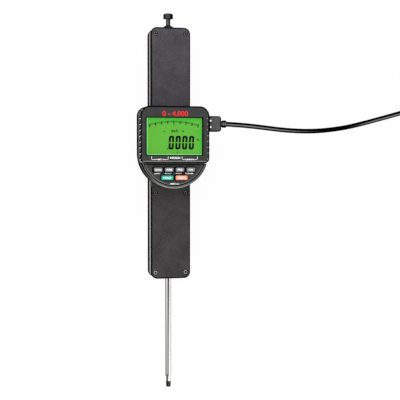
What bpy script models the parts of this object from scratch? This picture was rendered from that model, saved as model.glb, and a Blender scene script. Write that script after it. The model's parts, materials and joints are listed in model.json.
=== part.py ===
"""Long-travel digital indicator with a turning display head and an output cable.

Frame: metres, +X to the reader's right, +Y along the spindle towards its lifting cap, +Z out of the
display. The origin is the centre of the column's flat back, which is the face it is fixed by.
"""

import math

import bmesh
import bpy
from mathutils import Matrix, Vector

MM = 0.001

# Clearances
SEAT_GAP = 0.3 * MM
BORE_GAP = 0.1 * MM
RUNNING_GAP = 0.06 * MM

# Spindle and its stroke
SPINDLE_TRAVEL = 101.6 * MM
SPINDLE_RADIUS = 3.175 * MM
SPINDLE_HEIGHT = 7.4 * MM
SPINDLE_CHAMFER = 0.7 * MM
STEM_RADIUS = 2.18 * MM
CAP_RADIUS = 4.9 * MM
CAP_LENGTH = 5.6 * MM
CAP_STANDOFF = 10.2 * MM
CAP_SOCKET = 3.4 * MM
CONTACT_RADIUS = 2.38 * MM
CONTACT_LENGTH = 6.2 * MM
CONTACT_NECK_RADIUS = 1.9 * MM
CONTACT_NECK = 5.0 * MM
CONTACT_STUD_RADIUS = 1.2 * MM
CONTACT_STUD = 4.0 * MM

# Measuring slide inside the column
READER_LENGTH = 10.0 * MM
READER_WIDTH = 9.0 * MM
CLAMP_END = 6.0 * MM
CLAMP_LENGTH = 9.0 * MM
CLAMP_WIDTH = 12.0 * MM
CLAMP_FLOOR_GAP = 0.9 * MM
CARRIER_WIDTH = 18.0 * MM
CARRIER_BAR = 1.8 * MM
CARRIER_CREST = 0.25 * MM
SCALE_WIDTH = 11.0 * MM
SCALE_THICKNESS = 1.1 * MM
READER_AIR_GAP = 0.6 * MM
READER_CHIP = 1.7 * MM
READER_BOARD = 1.2 * MM
READER_BOARD_LENGTH = 28.0 * MM
GUIDE_ROD_RADIUS = 1.5 * MM
GUIDE_ROD_OFFSET = 8.9 * MM
GUIDE_ROD_SEAT = 3.0 * MM
GUIDE_ARM_WALL = 0.8 * MM

# Column
COLUMN_WIDTH = 40.0 * MM
COLUMN_CORNER = 5.5 * MM
COLUMN_EDGE = 0.6 * MM
PLATE_CORNER = 1.5 * MM
BACK_WALL = 2.5 * MM
SIDE_WALL = 3.0 * MM
END_WALL = 7.9 * MM
COVER_THICKNESS = 2.5 * MM
BAY_LENGTH = 66.4 * MM
RAIL_WIDTH = 5.2 * MM
BASE_SCREW_INSET = 6.2 * MM
COVER_SCREW_INSET = 6.2 * MM
COVER_SCREW_EDGE = 4.7 * MM
MOUNT_HOLE_RADIUS = 1.65 * MM
MOUNT_HOLE_DEPTH = 8.0 * MM
MOUNT_HOLE_SPACING = 25.0 * MM

# Bushings and the lower stop
LOWER_BUSH_WALL = 1.8 * MM
LOWER_BUSH_REACH = 1.4 * MM
BUMPER_WALL = 1.4 * MM
BUMPER_LENGTH = 3.0 * MM
UPPER_BUSH_WALL = 2.2 * MM
BOSS_RADIUS = 5.0 * MM
BOSS_HEIGHT = 3.6 * MM

# Return spring: a steel band wound on a drum
DRUM_WALL_GAP = 0.6 * MM
DRUM_WIDTH = 6.2 * MM
DRUM_OFFSET = 18.0 * MM
DRUM_FLOOR_GAP = 0.7 * MM
DRUM_PIN_RADIUS = 1.2 * MM
DRUM_PIN_STANDOUT = 0.6 * MM
BAND_THICKNESS = 0.3 * MM
BAND_WIDTH = 5.0 * MM
BAND_GAP = 0.15 * MM

# Socket head screws
SCREW_RADIUS = 1.0 * MM
SCREW_HEAD_RADIUS = 1.9 * MM
SCREW_HEAD = 1.5 * MM
SCREW_SOCKET_RADIUS = 0.85 * MM
SCREW_SOCKET_DEPTH = 0.9 * MM
SCREW_REACH = 8.0 * MM
SCREW_SINK = 0.25 * MM
SCREW_ACCESS = 5.0 * MM

# Swivel under the head
HUB_RADIUS = 14.0 * MM
HUB_NECK_RADIUS = 12.0 * MM
HUB_BORE = 6.0 * MM
HUB_NECK = 2.6 * MM
RING_WIDTH = 3.0 * MM
RING_THICKNESS = 1.2 * MM
WASHER_THICKNESS = 0.4 * MM
HEAD_GAP = 0.5 * MM

# Head shells
HEAD_RADIUS = 34.4 * MM
HEAD_TOP = 46.3 * MM
HEAD_CORNER = 10.5 * MM
HEAD_WALL = 2.2 * MM
CASE_FLOOR = 2.5 * MM
CASE_DEPTH = 9.2 * MM
BEZEL_DEPTH = 13.2 * MM
BEZEL_FACE = 3.0 * MM
BEZEL_EDGE = 0.9 * MM
BEZEL_CORNER = 5.0 * MM
BEZEL_SIDE = 6.7 * MM
BEZEL_BROW = 12.0 * MM
BEZEL_CHIN = 8.0 * MM
GROOVE_PITCH = 5.69 * MM
GROOVE_WIDTH = 1.9 * MM
GROOVE_DEPTH = 0.8 * MM
GROOVES_PER_SIDE = 8
GROOVE_START = -4.0 * MM
CASE_SCREW_BOSS = 2.5 * MM
CASE_SCREW_INSET = 7.4 * MM
CASE_SCREW_ANGLE = 43.6
CASE_SCREW_RIM = 4.7 * MM

# Display stack
WINDOW_THICKNESS = 1.4 * MM
LCD_BORDER = 1.5 * MM
LCD_THICKNESS = 3.0 * MM
BACKLIGHT_BORDER = 0.8 * MM
BOARD_THICKNESS = 1.6 * MM
BOARD_SEAT = 0.7 * MM
BATTERY_RADIUS = 10.0 * MM
BATTERY_THICKNESS = 3.2 * MM

# Keypad
KEYPAD_DEPTH = 8.9 * MM
KEYPAD_RIM = 2.6 * MM
KEYPAD_RECESS = 1.0 * MM
KEYPAD_FACE = 2.4 * MM
KEYPAD_EDGE = 1.6 * MM
KEY_BOTTOM_MARGIN = 8.05 * MM
KEY_ROW_PITCH = 7.55 * MM
KEY_TOP_MARGIN = 6.4 * MM
KEY_HEIGHT = 6.0 * MM
KEY_ROW_MARGIN = 3.6 * MM
KEY_SPACING = 0.6 * MM
KEY_CLEARANCE = 0.2 * MM
KEY_TAPER_X = 1.0 * MM
KEY_TAPER_Y = 0.5 * MM
KEY_STANDOUT = 3.0 * MM
KEY_CORNER = 1.4 * MM
KEY_TRAVEL = 0.8 * MM
MAT_GAP = KEY_TRAVEL + BORE_GAP

# Output cable
SOCKET_WIDTH = 13.0 * MM
SOCKET_HEIGHT = 6.2 * MM
SOCKET_DEPTH = 4.3 * MM
CONNECTOR_CENTRE = 29.3 * MM
CONNECTOR_LENGTH = 13.2 * MM
CONNECTOR_WIDTH = 15.4 * MM
CONNECTOR_THICKNESS = 9.0 * MM
CONNECTOR_CORNER = 2.6 * MM
RELIEF_LENGTH = 5.1 * MM
RELIEF_NECK = 1.8 * MM
RELIEF_RADIUS = 3.35 * MM
CABLE_RADIUS = 2.45 * MM
TUBE_STEP = 12.0 * MM
COIL_CENTRE = Vector((300.0, 94.0)) * MM
COIL_RADIUS = 28.5 * MM
COIL_PITCH = 5.4 * MM
COIL_LAYERS = 4
COIL_TURNS_PER_LAYER = 2.5
COIL_START_ANGLE = -80.0
COIL_LEAD = 5.0 * MM
COIL_LIFT = 1.2 * MM
LOOP_POINTS = 24
TIE_THICKNESS = 0.8 * MM
TIE_WIDTH = 9.0 * MM
TIE_ANGLE = 150.0
TIE_PLAY = 0.5 * MM
PLUG_LENGTH = 24.0 * MM
PLUG_WIDTH = 15.0 * MM
PLUG_THICKNESS = 8.0 * MM
PLUG_SHELL_LENGTH = 17.0 * MM
PLUG_SHELL_WIDTH = 12.0 * MM
PLUG_SHELL_THICKNESS = 4.5 * MM
PLUG_SHELL_WALL = 0.5 * MM
PLUG_TONGUE = 1.8 * MM

# Mesh detail
ROUND = 28
SMALL_ROUND = 12
HEAD_ROUND = 32
WELD_DISTANCE = 0.002 * MM

# Heights worked out from the stack of pieces
SPINDLE_TOP = SPINDLE_HEIGHT + SPINDLE_RADIUS
BAR_LOW = SPINDLE_TOP + CARRIER_CREST
BAR_HIGH = BAR_LOW + CARRIER_BAR
SCALE_HIGH = BAR_HIGH + SEAT_GAP + SCALE_THICKNESS
CHIP_LOW = SCALE_HIGH + READER_AIR_GAP
READER_HIGH = CHIP_LOW + READER_CHIP + READER_BOARD
HOUSING_DEPTH = READER_HIGH
COVER_LOW = HOUSING_DEPTH + SEAT_GAP
COLUMN_FRONT = COVER_LOW + COVER_THICKNESS
CASE_LOW = COLUMN_FRONT + HEAD_GAP
CASE_HIGH = CASE_LOW + CASE_DEPTH
FACE_LOW = CASE_HIGH + SEAT_GAP
BEZEL_HIGH = FACE_LOW + BEZEL_DEPTH
BEZEL_UNDER = BEZEL_HIGH - BEZEL_FACE
BOARD_LOW = FACE_LOW + BOARD_SEAT
BOARD_HIGH = BOARD_LOW + BOARD_THICKNESS
LCD_HIGH = BEZEL_UNDER - SEAT_GAP
LCD_LOW = LCD_HIGH - LCD_THICKNESS
RIM_HIGH = FACE_LOW + KEYPAD_DEPTH
PANEL_HIGH = RIM_HIGH - KEYPAD_RECESS
PANEL_LOW = PANEL_HIGH - KEYPAD_FACE
KEY_LOW = PANEL_LOW + SEAT_GAP
KEY_HIGH = PANEL_HIGH + KEY_STANDOUT
MAT_HIGH = KEY_LOW - MAT_GAP
CONNECTOR_MIDDLE = BOARD_HIGH + SEAT_GAP + SOCKET_HEIGHT / 2
CONNECTOR_HIGH = CONNECTOR_MIDDLE + CONNECTOR_THICKNESS / 2

# Positions along the column, worked out from the stroke
CARRIER_BOTTOM = -SPINDLE_TRAVEL - READER_LENGTH / 2 - CLAMP_END
CARRIER_TOP = READER_LENGTH / 2 + CLAMP_END
BUMPER_BOTTOM = CARRIER_BOTTOM - SEAT_GAP - BUMPER_LENGTH
CAVITY_HALF = -BUMPER_BOTTOM + SEAT_GAP + LOWER_BUSH_REACH
COLUMN_HALF = CAVITY_HALF + END_WALL
BAY_HALF = BAY_LENGTH / 2
SHOULDER = -COLUMN_HALF - SPINDLE_TRAVEL
CAP_BOTTOM = COLUMN_HALF + CAP_STANDOFF
COVER_SCREW_X = COLUMN_WIDTH / 2 - COVER_SCREW_EDGE
COVER_SCREW_OUTER = COLUMN_HALF - COVER_SCREW_INSET
COVER_SCREW_INNER = BAY_HALF + COVER_SCREW_INSET
BASE_SCREW_Y = BAY_HALF - BASE_SCREW_INSET
RAIL_INNER = COLUMN_WIDTH / 2 - SIDE_WALL - RAIL_WIDTH
BAND_OUTER = CLAMP_WIDTH / 2 + BAND_GAP + BAND_THICKNESS + BAND_GAP
DRUM_RADIUS = (COLUMN_WIDTH / 2 - SIDE_WALL - DRUM_WALL_GAP - BAND_OUTER) / 2
DRUM_X = -(BAND_OUTER + DRUM_RADIUS)
DRUM_Y = -CAVITY_HALF + DRUM_OFFSET
DRUM_LOW = BACK_WALL + DRUM_FLOOR_GAP

# Positions across the head
PANEL_RADIUS = HEAD_RADIUS - KEYPAD_RIM
LOWER_ROW_Y = -PANEL_RADIUS + KEY_BOTTOM_MARGIN
UPPER_ROW_Y = LOWER_ROW_Y + KEY_ROW_PITCH
SEAM_Y = UPPER_ROW_Y + KEY_TOP_MARGIN
WINDOW_HALF = HEAD_RADIUS - BEZEL_SIDE
WINDOW_BOTTOM = SEAM_Y + BEZEL_CHIN
WINDOW_TOP = HEAD_TOP - BEZEL_BROW
RING_RADIUS = HUB_RADIUS + RING_WIDTH
LOWER_BOSS_REACH = HEAD_RADIUS - CASE_SCREW_RIM

# Route of the cable's free stretches, from the strain relief to the coil and from the coil to the plug
CABLE_EXIT = Vector((
    HEAD_RADIUS + SEAT_GAP + CONNECTOR_LENGTH + SEAT_GAP + RELIEF_LENGTH + SEAT_GAP,
    CONNECTOR_CENTRE,
    CONNECTOR_MIDDLE,
))
RUN_ROUTE = [Vector(point) * MM for point in (
    (60.0, 29.2, 36.0), (68.0, 28.8, 35.8), (80.0, 27.9, 35.0), (96.0, 26.3, 33.4),
    (115.0, 24.4, 30.6), (135.0, 23.4, 26.4), (155.0, 23.8, 21.0), (175.0, 25.8, 14.8),
    (194.0, 28.8, 9.0), (212.0, 32.8, 5.0), (230.0, 37.4, 3.7), (248.0, 42.2, 3.65), (266.0, 47.2, 3.65),
    (281.0, 51.6, 3.65),
)]
PLUG_BACK = Vector((350.0, 112.0, 4.1)) * MM
TAIL_ROUTE = [Vector(point) * MM for point in (
    (337.0, 76.5, 16.6), (345.0, 88.0, 10.6), (349.0, 99.0, 6.0), (350.0, 106.0, 4.4),
)]


def clear_scene():
    """Empties the scene."""
    for obj in list(bpy.data.objects):
        bpy.data.objects.remove(obj, do_unlink=True)


def material(name, colour, roughness, metallic=0.0):
    """A plain Principled finish."""
    made = bpy.data.materials.new(name)
    made.use_nodes = True
    made.diffuse_color = (*colour, 1.0)
    shader = made.node_tree.nodes["Principled BSDF"]
    shader.inputs["Base Color"].default_value = (*colour, 1.0)
    shader.inputs["Roughness"].default_value = roughness
    shader.inputs["Metallic"].default_value = metallic
    return made


def axis_empty(name, place):
    """An empty on a joint's axis, which carries the pieces that move there."""
    empty = bpy.data.objects.new(name, None)
    empty.location = place
    bpy.context.scene.collection.objects.link(empty)
    return empty


def face_outward(shape):
    """Turns the closed shape's faces outward."""
    bmesh.ops.recalc_face_normals(shape, faces=shape.faces)
    if shape.calc_volume(signed=True) < 0.0:
        bmesh.ops.reverse_faces(shape, faces=shape.faces)


def mesh_object(name, shape):
    """A linked object that owns the shape, which was drawn in the part's frame."""
    mesh = bpy.data.meshes.new(name)
    shape.to_mesh(mesh)
    shape.free()
    obj = bpy.data.objects.new(name, mesh)
    bpy.context.scene.collection.objects.link(obj)
    return obj


def add_piece(name, shape, finish, carrier):
    """A visible piece on the empty that carries it."""
    face_outward(shape)
    obj = mesh_object(name, shape)
    obj.data.materials.append(finish)
    obj.data.shade_smooth()
    obj.data.set_sharp_from_angle(angle=math.radians(35))
    obj.parent = carrier
    obj.location = -carrier.location
    return obj


def join_shapes(shapes):
    """One shape that holds several separate closed ones."""
    joined = bmesh.new()
    for shape in shapes:
        mesh = bpy.data.meshes.new("joined_shape")
        face_outward(shape)
        shape.to_mesh(mesh)
        shape.free()
        joined.from_mesh(mesh)
        bpy.data.meshes.remove(mesh)
    return joined


def combine(obj, label, operation, shapes):
    """A Boolean of the piece with shapes that don't touch each other, on a hidden helper."""
    helper = mesh_object(f"{obj.name}_{label}", join_shapes(shapes))
    helper.hide_render = True
    helper.display_type = "WIRE"
    helper.parent = obj.parent
    helper.location = obj.location
    modifier = obj.modifiers.new(label, "BOOLEAN")
    modifier.operation = operation
    modifier.object = helper
    weld = obj.modifiers.new(f"{label}_weld", "WELD")
    weld.merge_threshold = WELD_DISTANCE


def cut(obj, label, *shapes):
    """Cuts the shapes out of the piece."""
    combine(obj, label, "DIFFERENCE", shapes)


def weld_on(obj, label, *shapes):
    """Joins the shapes to the piece as one solid."""
    combine(obj, label, "UNION", shapes)


def soften(obj, width, angle=50.0, segments=2):
    """Rounds the piece's sharp edges."""
    modifier = obj.modifiers.new("edges", "BEVEL")
    modifier.width = width
    modifier.segments = segments
    modifier.limit_method = "ANGLE"
    modifier.angle_limit = math.radians(angle)


def box(low, high):
    """A box between two corners."""
    low, high = Vector(low), Vector(high)
    shape = bmesh.new()
    size = Matrix.Diagonal((*(high - low), 1.0))
    bmesh.ops.create_cube(shape, size=1.0, matrix=Matrix.Translation((low + high) / 2) @ size)
    return shape


def loft(sections):
    """A closed solid through level outlines with equal point counts, each given as (outline, z)."""
    shape = bmesh.new()
    rings = [[shape.verts.new((x, y, z)) for x, y in outline] for outline, z in sections]
    for lower, upper in zip(rings, rings[1:]):
        for i in range(len(lower)):
            shape.faces.new((lower[i - 1], lower[i], upper[i], upper[i - 1]))
    shape.faces.new(rings[0])
    shape.faces.new(rings[-1])
    return shape


def prism(outline, low, high):
    """An outline in X and Y given height."""
    return loft([(outline, low), (outline, high)])


def turned(profile, base, direction, steps=ROUND):
    """A profile of (radius, distance along the axis) points spun round an axis. Its ends lie on the
    axis, or it is a closed loop away from it."""
    shape = bmesh.new()
    verts = [shape.verts.new((radius, 0.0, along)) for radius, along in profile]
    closed = profile[0][0] > 0.0
    pairs = list(zip(verts, verts[1:])) + ([(verts[-1], verts[0])] if closed else [])
    edges = [shape.edges.new(pair) for pair in pairs]
    bmesh.ops.spin(
        shape, geom=verts + edges, cent=(0, 0, 0), axis=(0, 0, 1), angle=math.tau, steps=steps, use_merge=True
    )
    bmesh.ops.remove_doubles(shape, verts=shape.verts, dist=1e-7)
    turn = Vector((0, 0, 1)).rotation_difference(Vector(direction)).to_matrix().to_4x4()
    shape.transform(Matrix.Translation(base) @ turn)
    return shape


def cylinder(radius, length, base, direction, steps=ROUND):
    """A plain round bar."""
    return turned([(0.0, 0.0), (radius, 0.0), (radius, length), (0.0, length)], base, direction, steps)


def tube(inner, outer, length, base, direction, steps=ROUND):
    """A plain round sleeve."""
    profile = [(inner, 0.0), (outer, 0.0), (outer, length), (inner, length)]
    return turned(profile, base, direction, steps)


def arc(centre, radius, start, end, steps):
    """Points on an arc, with its angles in degrees."""
    angles = [math.radians(start + (end - start) * i / steps) for i in range(steps + 1)]
    return [(centre[0] + radius * math.cos(a), centre[1] + radius * math.sin(a)) for a in angles]


def rounded_rectangle(low, high, radii, steps=4):
    """An outline with its own corner radius at lower left, lower right, upper right and upper left."""
    corners = ((low[0], low[1]), (high[0], low[1]), (high[0], high[1]), (low[0], high[1]))
    inward = ((1, 1), (-1, 1), (-1, -1), (1, -1))
    outline = []
    for i, (corner, side, radius) in enumerate(zip(corners, inward, radii)):
        centre = (corner[0] + side[0] * radius, corner[1] + side[1] * radius)
        start = 180.0 + 90.0 * i
        outline += arc(centre, radius, start, start + 90.0, steps)
    return outline


def evenly_rounded(low, high, radius, steps=4):
    """An outline with one radius on all corners."""
    return rounded_rectangle(low, high, (radius,) * 4, steps)


def brow_points(inset):
    """The head's two rounded top corners, from right to left."""
    radius = HEAD_CORNER - inset
    across = HEAD_RADIUS - HEAD_CORNER
    level = HEAD_TOP - HEAD_CORNER
    return arc((across, level), radius, 0, 90, 6) + arc((-across, level), radius, 90, 180, 6)


def head_outline(inset=0.0):
    """The head's whole outline: a half circle below two rounded corners."""
    return brow_points(inset) + arc((0, 0), HEAD_RADIUS - inset, 180, 360, HEAD_ROUND)


def display_outline(inset=0.0):
    """The display shell's outline above the seam, with tighter corners at the seam than at the top."""
    across = HEAD_RADIUS - BEZEL_CORNER
    level = SEAM_Y + BEZEL_CORNER
    radius = BEZEL_CORNER - inset
    left = arc((-across, level), radius, 180, 270, 4)
    right = arc((across, level), radius, 270, 360, 4)
    return brow_points(inset) + left + right


def keypad_outline(radius, top):
    """The circle segment below the seam."""
    dip = math.degrees(math.asin(-top / radius))
    return arc((0, 0), radius, 180 + dip, 360 - dip, HEAD_ROUND)


def curve_through(points, step):
    """Points at even steps along a smooth curve through the given ones."""
    ends = [2 * points[0] - points[1], *points, 2 * points[-1] - points[-2]]
    fine = []
    for before, start, end, after in zip(ends, ends[1:], ends[2:], ends[3:]):
        for i in range(24):
            t = i / 24
            fine.append(0.5 * (
                2 * start + (end - before) * t + (2 * before - 5 * start + 4 * end - after) * t**2
                + (3 * start - before - 3 * end + after) * t**3
            ))
    fine.append(points[-1])
    length = sum((b - a).length for a, b in zip(fine, fine[1:]))
    count = max(2, round(length / step))
    spaced, walked, target = [fine[0]], 0.0, length / count
    for a, b in zip(fine, fine[1:]):
        walked += (b - a).length
        if walked >= target * len(spaced) and len(spaced) < count:
            spaced.append(b)
    return spaced + [fine[-1]]


def add_cable(name, points, resolution, finish, carrier):
    """A round cable along the points, with flat ends."""
    curve = bpy.data.curves.new(name, "CURVE")
    curve.dimensions = "3D"
    curve.bevel_depth = CABLE_RADIUS
    curve.bevel_resolution = resolution
    curve.use_fill_caps = True
    spline = curve.splines.new("POLY")
    spline.points.add(len(points) - 1)
    for spot, point in zip(spline.points, points):
        spot.co = (*point, 1.0)
    obj = bpy.data.objects.new(name, curve)
    obj.data.materials.append(finish)
    bpy.context.scene.collection.objects.link(obj)
    obj.parent = carrier
    obj.location = -carrier.location
    return obj


def screw(name, top, direction, carrier, finish, reach=SCREW_REACH):
    """A socket head screw whose head's outer face is at top and whose shank runs along direction."""
    profile = [
        (0.0, SCREW_SOCKET_DEPTH), (SCREW_SOCKET_RADIUS, SCREW_SOCKET_DEPTH), (SCREW_SOCKET_RADIUS, 0.0),
        (SCREW_HEAD_RADIUS, 0.0), (SCREW_HEAD_RADIUS, SCREW_HEAD), (SCREW_RADIUS, SCREW_HEAD),
        (SCREW_RADIUS, reach), (0.0, reach),
    ]
    return add_piece(name, turned(profile, top, direction, SMALL_ROUND), finish, carrier)


def screw_clearance(top, direction, open_height=SCREW_ACCESS, reach=SCREW_REACH):
    """The counterbored hole that a screw sits in, open above its head."""
    head = SCREW_HEAD_RADIUS + BORE_GAP * 2
    shank = SCREW_RADIUS + BORE_GAP
    profile = [
        (0.0, -open_height), (head, -open_height), (head, SCREW_HEAD + SEAT_GAP),
        (shank, SCREW_HEAD + SEAT_GAP), (shank, reach + SEAT_GAP), (0.0, reach + SEAT_GAP),
    ]
    return turned(profile, top, direction, SMALL_ROUND)


def cover_screw_spots(side):
    """The four screws of the upper cover (side 1) or the lower one (side -1)."""
    return [
        Vector((x, side * y, COLUMN_FRONT - SCREW_SINK))
        for y in (COVER_SCREW_OUTER, COVER_SCREW_INNER) for x in (-COVER_SCREW_X, COVER_SCREW_X)
    ]


def base_screw_spots():
    """The two screws of the swivel base, on opposite corners."""
    height = COLUMN_FRONT - SCREW_SINK
    return [Vector((s * COVER_SCREW_X, s * BASE_SCREW_Y, height)) for s in (-1, 1)]


def case_screw_spots():
    """The four screws that close the head, in the head's rear face."""
    height = CASE_LOW + SCREW_SINK
    across, level = HEAD_RADIUS - CASE_SCREW_INSET, HEAD_TOP - CASE_SCREW_INSET
    low = math.radians(CASE_SCREW_ANGLE)
    low_x, low_y = LOWER_BOSS_REACH * math.cos(low), -LOWER_BOSS_REACH * math.sin(low)
    return [Vector((x, y, height)) for x, y in (
        (across, level), (-across, level), (low_x, low_y), (-low_x, low_y)
    )]


DOWN = Vector((0, 0, -1))
UP = Vector((0, 0, 1))
ALONG = Vector((0, 1, 0))
ACROSS = Vector((1, 0, 0))


def cavity_outline():
    """The column's hollow: full width, narrowed by the screw rails beside the bay."""
    wide, narrow, top = COLUMN_WIDTH / 2 - SIDE_WALL, RAIL_INNER, CAVITY_HALF
    rail_end = COVER_SCREW_INNER + RAIL_WIDTH / 2 + SEAT_GAP
    rail_start = BASE_SCREW_Y - RAIL_WIDTH / 2 - SEAT_GAP
    right = [
        (wide, -top), (wide, -rail_end), (narrow, -rail_end), (narrow, -rail_start), (wide, -rail_start),
        (wide, rail_start), (narrow, rail_start), (narrow, rail_end), (wide, rail_end), (wide, top),
    ]
    return right + [(-x, -y) for x, y in right]


def mount_holes():
    """Blind tapped holes in the column's back, through its end walls' depth."""
    level = COLUMN_HALF - END_WALL / 2
    return [
        cylinder(MOUNT_HOLE_RADIUS, MOUNT_HOLE_DEPTH + SEAT_GAP, (x, y, -SEAT_GAP), UP, SMALL_ROUND)
        for x in (-MOUNT_HOLE_SPACING / 2, MOUNT_HOLE_SPACING / 2) for y in (-level, level)
    ]


def build_housing(frame, finish):
    """The column's body: a deep tray with thick ends."""
    half = COLUMN_WIDTH / 2
    outline = evenly_rounded((-half, -COLUMN_HALF), (half, COLUMN_HALF), COLUMN_CORNER)
    housing = add_piece("column_housing", prism(outline, 0.0, HOUSING_DEPTH), finish, frame)
    soften(housing, COLUMN_EDGE)
    cut(housing, "hollow", prism(cavity_outline(), BACK_WALL, HOUSING_DEPTH + END_WALL))
    bore_start = Vector((0, -COLUMN_HALF - END_WALL, SPINDLE_HEIGHT))
    lower = cylinder(
        SPINDLE_RADIUS + LOWER_BUSH_WALL + BORE_GAP, END_WALL * 3, bore_start, ALONG
    )
    upper = cylinder(
        STEM_RADIUS + UPPER_BUSH_WALL + BORE_GAP, END_WALL * 3,
        (0, CAVITY_HALF - END_WALL, SPINDLE_HEIGHT), ALONG,
    )
    cut(housing, "bush_bores", lower, upper)
    rod_half = CAVITY_HALF + GUIDE_ROD_SEAT + BORE_GAP
    rod = cylinder(
        GUIDE_ROD_RADIUS + BORE_GAP, 2 * rod_half, (GUIDE_ROD_OFFSET, -rod_half, SPINDLE_HEIGHT), ALONG,
        SMALL_ROUND,
    )
    cut(housing, "rod_seats", rod)
    spots = cover_screw_spots(1) + cover_screw_spots(-1) + base_screw_spots()
    cut(housing, "screw_holes", *(screw_clearance(spot, DOWN) for spot in spots))
    cut(housing, "mount_holes", *mount_holes())


def build_covers(frame, finish, steel):
    """The two front plates and their screws."""
    half = COLUMN_WIDTH / 2
    plain = PLATE_CORNER
    for name, side in (("upper_cover", 1), ("lower_cover", -1)):
        ends = sorted((side * COLUMN_HALF, side * (BAY_HALF + SEAT_GAP / 2)))
        radii = (plain, plain, COLUMN_CORNER, COLUMN_CORNER)
        outline = rounded_rectangle((-half, ends[0]), (half, ends[1]), radii if side > 0 else radii[::-1])
        cover = add_piece(name, prism(outline, COVER_LOW, COLUMN_FRONT), finish, frame)
        soften(cover, COLUMN_EDGE)
        spots = cover_screw_spots(side)
        cut(cover, "screw_holes", *(screw_clearance(spot, DOWN) for spot in spots))
        for number, spot in enumerate(spots, 1):
            screw(f"{name}_screw_{number}", spot, DOWN, frame, steel)


def build_bushings(frame, bronze, black, rubber):
    """The spindle's two guides and the rubber stop at the bottom of its stroke."""
    outer = SPINDLE_RADIUS + LOWER_BUSH_WALL
    length = END_WALL + LOWER_BUSH_REACH
    base = Vector((0, -COLUMN_HALF, SPINDLE_HEIGHT))
    add_piece("lower_bushing", tube(SPINDLE_RADIUS + RUNNING_GAP, outer, length, base, ALONG), bronze, frame)
    base = Vector((0, BUMPER_BOTTOM, SPINDLE_HEIGHT))
    bumper = tube(SPINDLE_RADIUS + BORE_GAP, SPINDLE_RADIUS + BUMPER_WALL, BUMPER_LENGTH, base, ALONG)
    add_piece("stop_bumper", bumper, rubber, frame)
    bore, sleeve = STEM_RADIUS + RUNNING_GAP, STEM_RADIUS + UPPER_BUSH_WALL
    crown = STEM_RADIUS + UPPER_BUSH_WALL / 2
    profile = [
        (bore, -END_WALL), (sleeve, -END_WALL), (sleeve, SEAT_GAP), (BOSS_RADIUS, SEAT_GAP),
        (BOSS_RADIUS, BOSS_HEIGHT / 3), (crown, BOSS_HEIGHT * 0.85), (crown, BOSS_HEIGHT),
        (bore, BOSS_HEIGHT),
    ]
    base = Vector((0, COLUMN_HALF, SPINDLE_HEIGHT))
    add_piece("upper_bushing", turned(profile, base, ALONG), black, frame)


def build_guides(frame, steel, board):
    """The rod that stops the slide from turning, and the reader fixed over the scale."""
    half = CAVITY_HALF + GUIDE_ROD_SEAT
    base = Vector((GUIDE_ROD_OFFSET, -half, SPINDLE_HEIGHT))
    add_piece("guide_rod", cylinder(GUIDE_ROD_RADIUS, 2 * half, base, ALONG, SMALL_ROUND), steel, frame)
    plate_low = CHIP_LOW + READER_CHIP
    wide, long = SCALE_WIDTH / 2 + READER_WIDTH / 2, READER_BOARD_LENGTH / 2
    reader = add_piece(
        "reader_board", box((-wide, -long, plate_low), (wide, long, READER_HIGH)), board, frame
    )
    chip_x, chip_y = READER_WIDTH / 2, READER_LENGTH / 2
    chip = box((-chip_x, -chip_y, CHIP_LOW), (chip_x, chip_y, plate_low + READER_BOARD / 2))
    weld_on(reader, "chip", chip)


def build_swivel(frame, black, steel, washer_finish):
    """The plate over the column's middle, with the hub that the head turns on."""
    half = COLUMN_WIDTH / 2
    bay = BAY_HALF - SEAT_GAP / 2
    outline = evenly_rounded((-half, -bay), (half, bay), PLATE_CORNER)
    base = add_piece("swivel_base", prism(outline, COVER_LOW, COLUMN_FRONT), black, frame)
    soften(base, COLUMN_EDGE)
    step = CASE_LOW + CASE_FLOOR + SEAT_GAP + WASHER_THICKNESS + SEAT_GAP - COLUMN_FRONT
    root = -COVER_THICKNESS / 2
    profile = [
        (0.0, root), (HUB_RADIUS, root), (HUB_RADIUS, step), (HUB_NECK_RADIUS, step),
        (HUB_NECK_RADIUS, step + HUB_NECK), (0.0, step + HUB_NECK),
    ]
    weld_on(base, "hub", turned(profile, (0, 0, COLUMN_FRONT), UP))
    cut(base, "cable_way", cylinder(HUB_BORE, COLUMN_FRONT, (0, 0, HOUSING_DEPTH), UP))
    spots = base_screw_spots()
    cut(base, "screw_holes", *(screw_clearance(spot, DOWN) for spot in spots))
    for number, spot in enumerate(spots, 1):
        screw(f"swivel_base_screw_{number}", spot, DOWN, frame, steel)
    washer_low = CASE_LOW + CASE_FLOOR + SEAT_GAP
    washer = tube(HUB_RADIUS + BORE_GAP, RING_RADIUS, WASHER_THICKNESS, (0, 0, washer_low), UP)
    add_piece("friction_washer", washer, washer_finish, frame)
    ring_low = COLUMN_FRONT + step + BORE_GAP
    ring = tube(HUB_NECK_RADIUS + BORE_GAP, RING_RADIUS, RING_THICKNESS, (0, 0, ring_low), UP)
    add_piece("retaining_ring", ring, steel, frame)


def build_return_spring(frame, drum_axis, spindle_axis, steel, black):
    """The drum on its pin, and the band it pulls the slide down with."""
    base = Vector((DRUM_X, DRUM_Y, BACK_WALL + SEAT_GAP))
    pin_length = DRUM_LOW - base.z + DRUM_WIDTH + DRUM_PIN_STANDOUT
    add_piece("drum_pin", cylinder(DRUM_PIN_RADIUS, pin_length, base, UP, SMALL_ROUND), steel, frame)
    drum = tube(DRUM_PIN_RADIUS + RUNNING_GAP, DRUM_RADIUS, DRUM_WIDTH, (DRUM_X, DRUM_Y, DRUM_LOW), UP)
    add_piece("spring_drum", drum, black, drum_axis)
    middle = DRUM_LOW + DRUM_WIDTH / 2
    near = -CLAMP_WIDTH / 2 - BAND_GAP
    low = (near - BAND_THICKNESS, DRUM_Y, middle - BAND_WIDTH / 2)
    high = (near, CARRIER_TOP - SEAT_GAP, middle + BAND_WIDTH / 2)
    add_piece("spring_band", box(low, high), steel, spindle_axis)


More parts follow.
